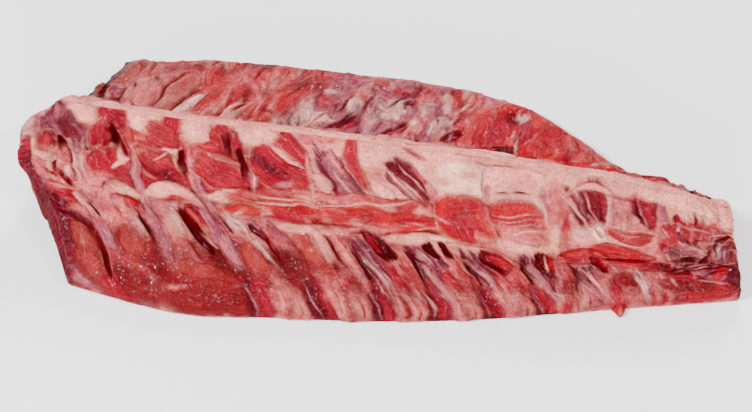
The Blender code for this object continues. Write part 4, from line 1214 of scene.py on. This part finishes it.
# name, direction from the crest, cells along and across, seed and rows
SIDES = (("near", -1, 320, 180, 11, NEAR), ("far", 1, 270, 150, 47, FAR))
for part, start, end in (("shoulder", 0, 0.5), ("loin", 0.5, 1)):
    for side_name, side, cells_along, cells_across, seed, rows in SIDES:
        block_of_rack(f"{side_name}_{part}", side, start, end, cells_along, cells_across, seed, rows)

# %% [markdown]
# ## Camera, floor and light
# A long lens looks down on the near side from 1.5 m.  The floor is plain and nearly white, and an
# even white sky fills the shadows.  Wet meat shows its film only where a lamp mirrors in it, and a
# large light would lie over it like milk, so the lamps are small, with five low ones for glints.
# %% Camera
AZIMUTH, ELEVATION, DISTANCE = np.radians(8), np.radians(58), 1.5
VIEW_WIDTH = 460.976          # mm across the view, at the distance of the rack
level = np.cos(ELEVATION)
back = Vector((np.sin(AZIMUTH) * level, -np.cos(AZIMUTH) * level, np.sin(ELEVATION)))
right = Vector((np.cos(AZIMUTH), np.sin(AZIMUTH), 0))
up = back.cross(right)
aim = Vector((-0.0110, -0.0014, 0.030)) + 0.0049 * right - 0.0136 * up
camera_data = bpy.data.cameras.new("camera")
camera_data.lens = camera_data.sensor_width * DISTANCE * 1000 / VIEW_WIDTH
camera = bpy.data.objects.new("camera", camera_data)
camera.location = aim + DISTANCE * back
camera.rotation_euler = (camera.location - aim).to_track_quat("Z", "Y").to_euler()
bpy.context.scene.collection.objects.link(camera)
bpy.context.scene.camera = camera
print("lens of", round(camera_data.lens, 1), "mm at", camera.location)

# %% Floor and sky
FLOOR = 4.0                   # half the width of the floor
FLOOR_WHITE, SKY_STRENGTH = srgb("#FBFBFB"), 0.48
floor_mesh = bpy.data.meshes.new("floor")
rim = [(-FLOOR, -FLOOR, 0), (FLOOR, -FLOOR, 0), (FLOOR, FLOOR, 0), (-FLOOR, FLOOR, 0)]
floor_mesh.from_pydata(rim, [], [(0, 1, 2, 3)])
floor = bpy.data.objects.new("floor", floor_mesh)
floor_paint = bpy.data.materials.new("floor_paint")
floor_paint.use_nodes = True
floor_shader = floor_paint.node_tree.nodes["Principled BSDF"]
floor_shader.inputs["Base Color"].default_value = FLOOR_WHITE
floor_shader.inputs["Roughness"].default_value = 0.9
floor_mesh.materials.append(floor_paint)
bpy.context.scene.collection.objects.link(floor)

world = bpy.data.worlds.new("studio")
bpy.context.scene.world = world
world.use_nodes = True
world.node_tree.nodes["Background"].inputs["Color"].default_value = (1, 1, 1, 1)
world.node_tree.nodes["Background"].inputs["Strength"].default_value = SKY_STRENGTH

# %% Lamps
LIT = Vector((0, 0, 0.03))    # the middle of the rack, which every lamp faces
GLINT_SIZE, GLINT_WATTS = 0.20, 5.2
GLINTS = ((0.15, -1.3, 0.30), (-0.80, -1.0, 0.45), (0.75, -1.0, 0.40), (0.2, -1.15, 0.70),
          (0.1, 1.15, 0.60))


def lamp(name, place, size, watts):
    """A square lamp of the given size, aimed at the middle of the rack."""
    data = bpy.data.lights.new(name, "AREA")
    data.size, data.energy = size, watts
    item = bpy.data.objects.new(name, data)
    item.location = place
    item.rotation_euler = (Vector(place) - LIT).to_track_quat("Z", "Y").to_euler()
    bpy.context.scene.collection.objects.link(item)


lamp("key", (-0.60, -0.45, 1.2), 0.20, 29)
lamp("fill", (0.8, -0.3, 1.2), 0.22, 9)
lamp("rim", (0.2, 1.0, 0.9), 0.22, 12)
for number, place in enumerate(GLINTS):
    lamp(f"glint_{number}", place, GLINT_SIZE, GLINT_WATTS)
print(3 + len(GLINTS), "lamps")
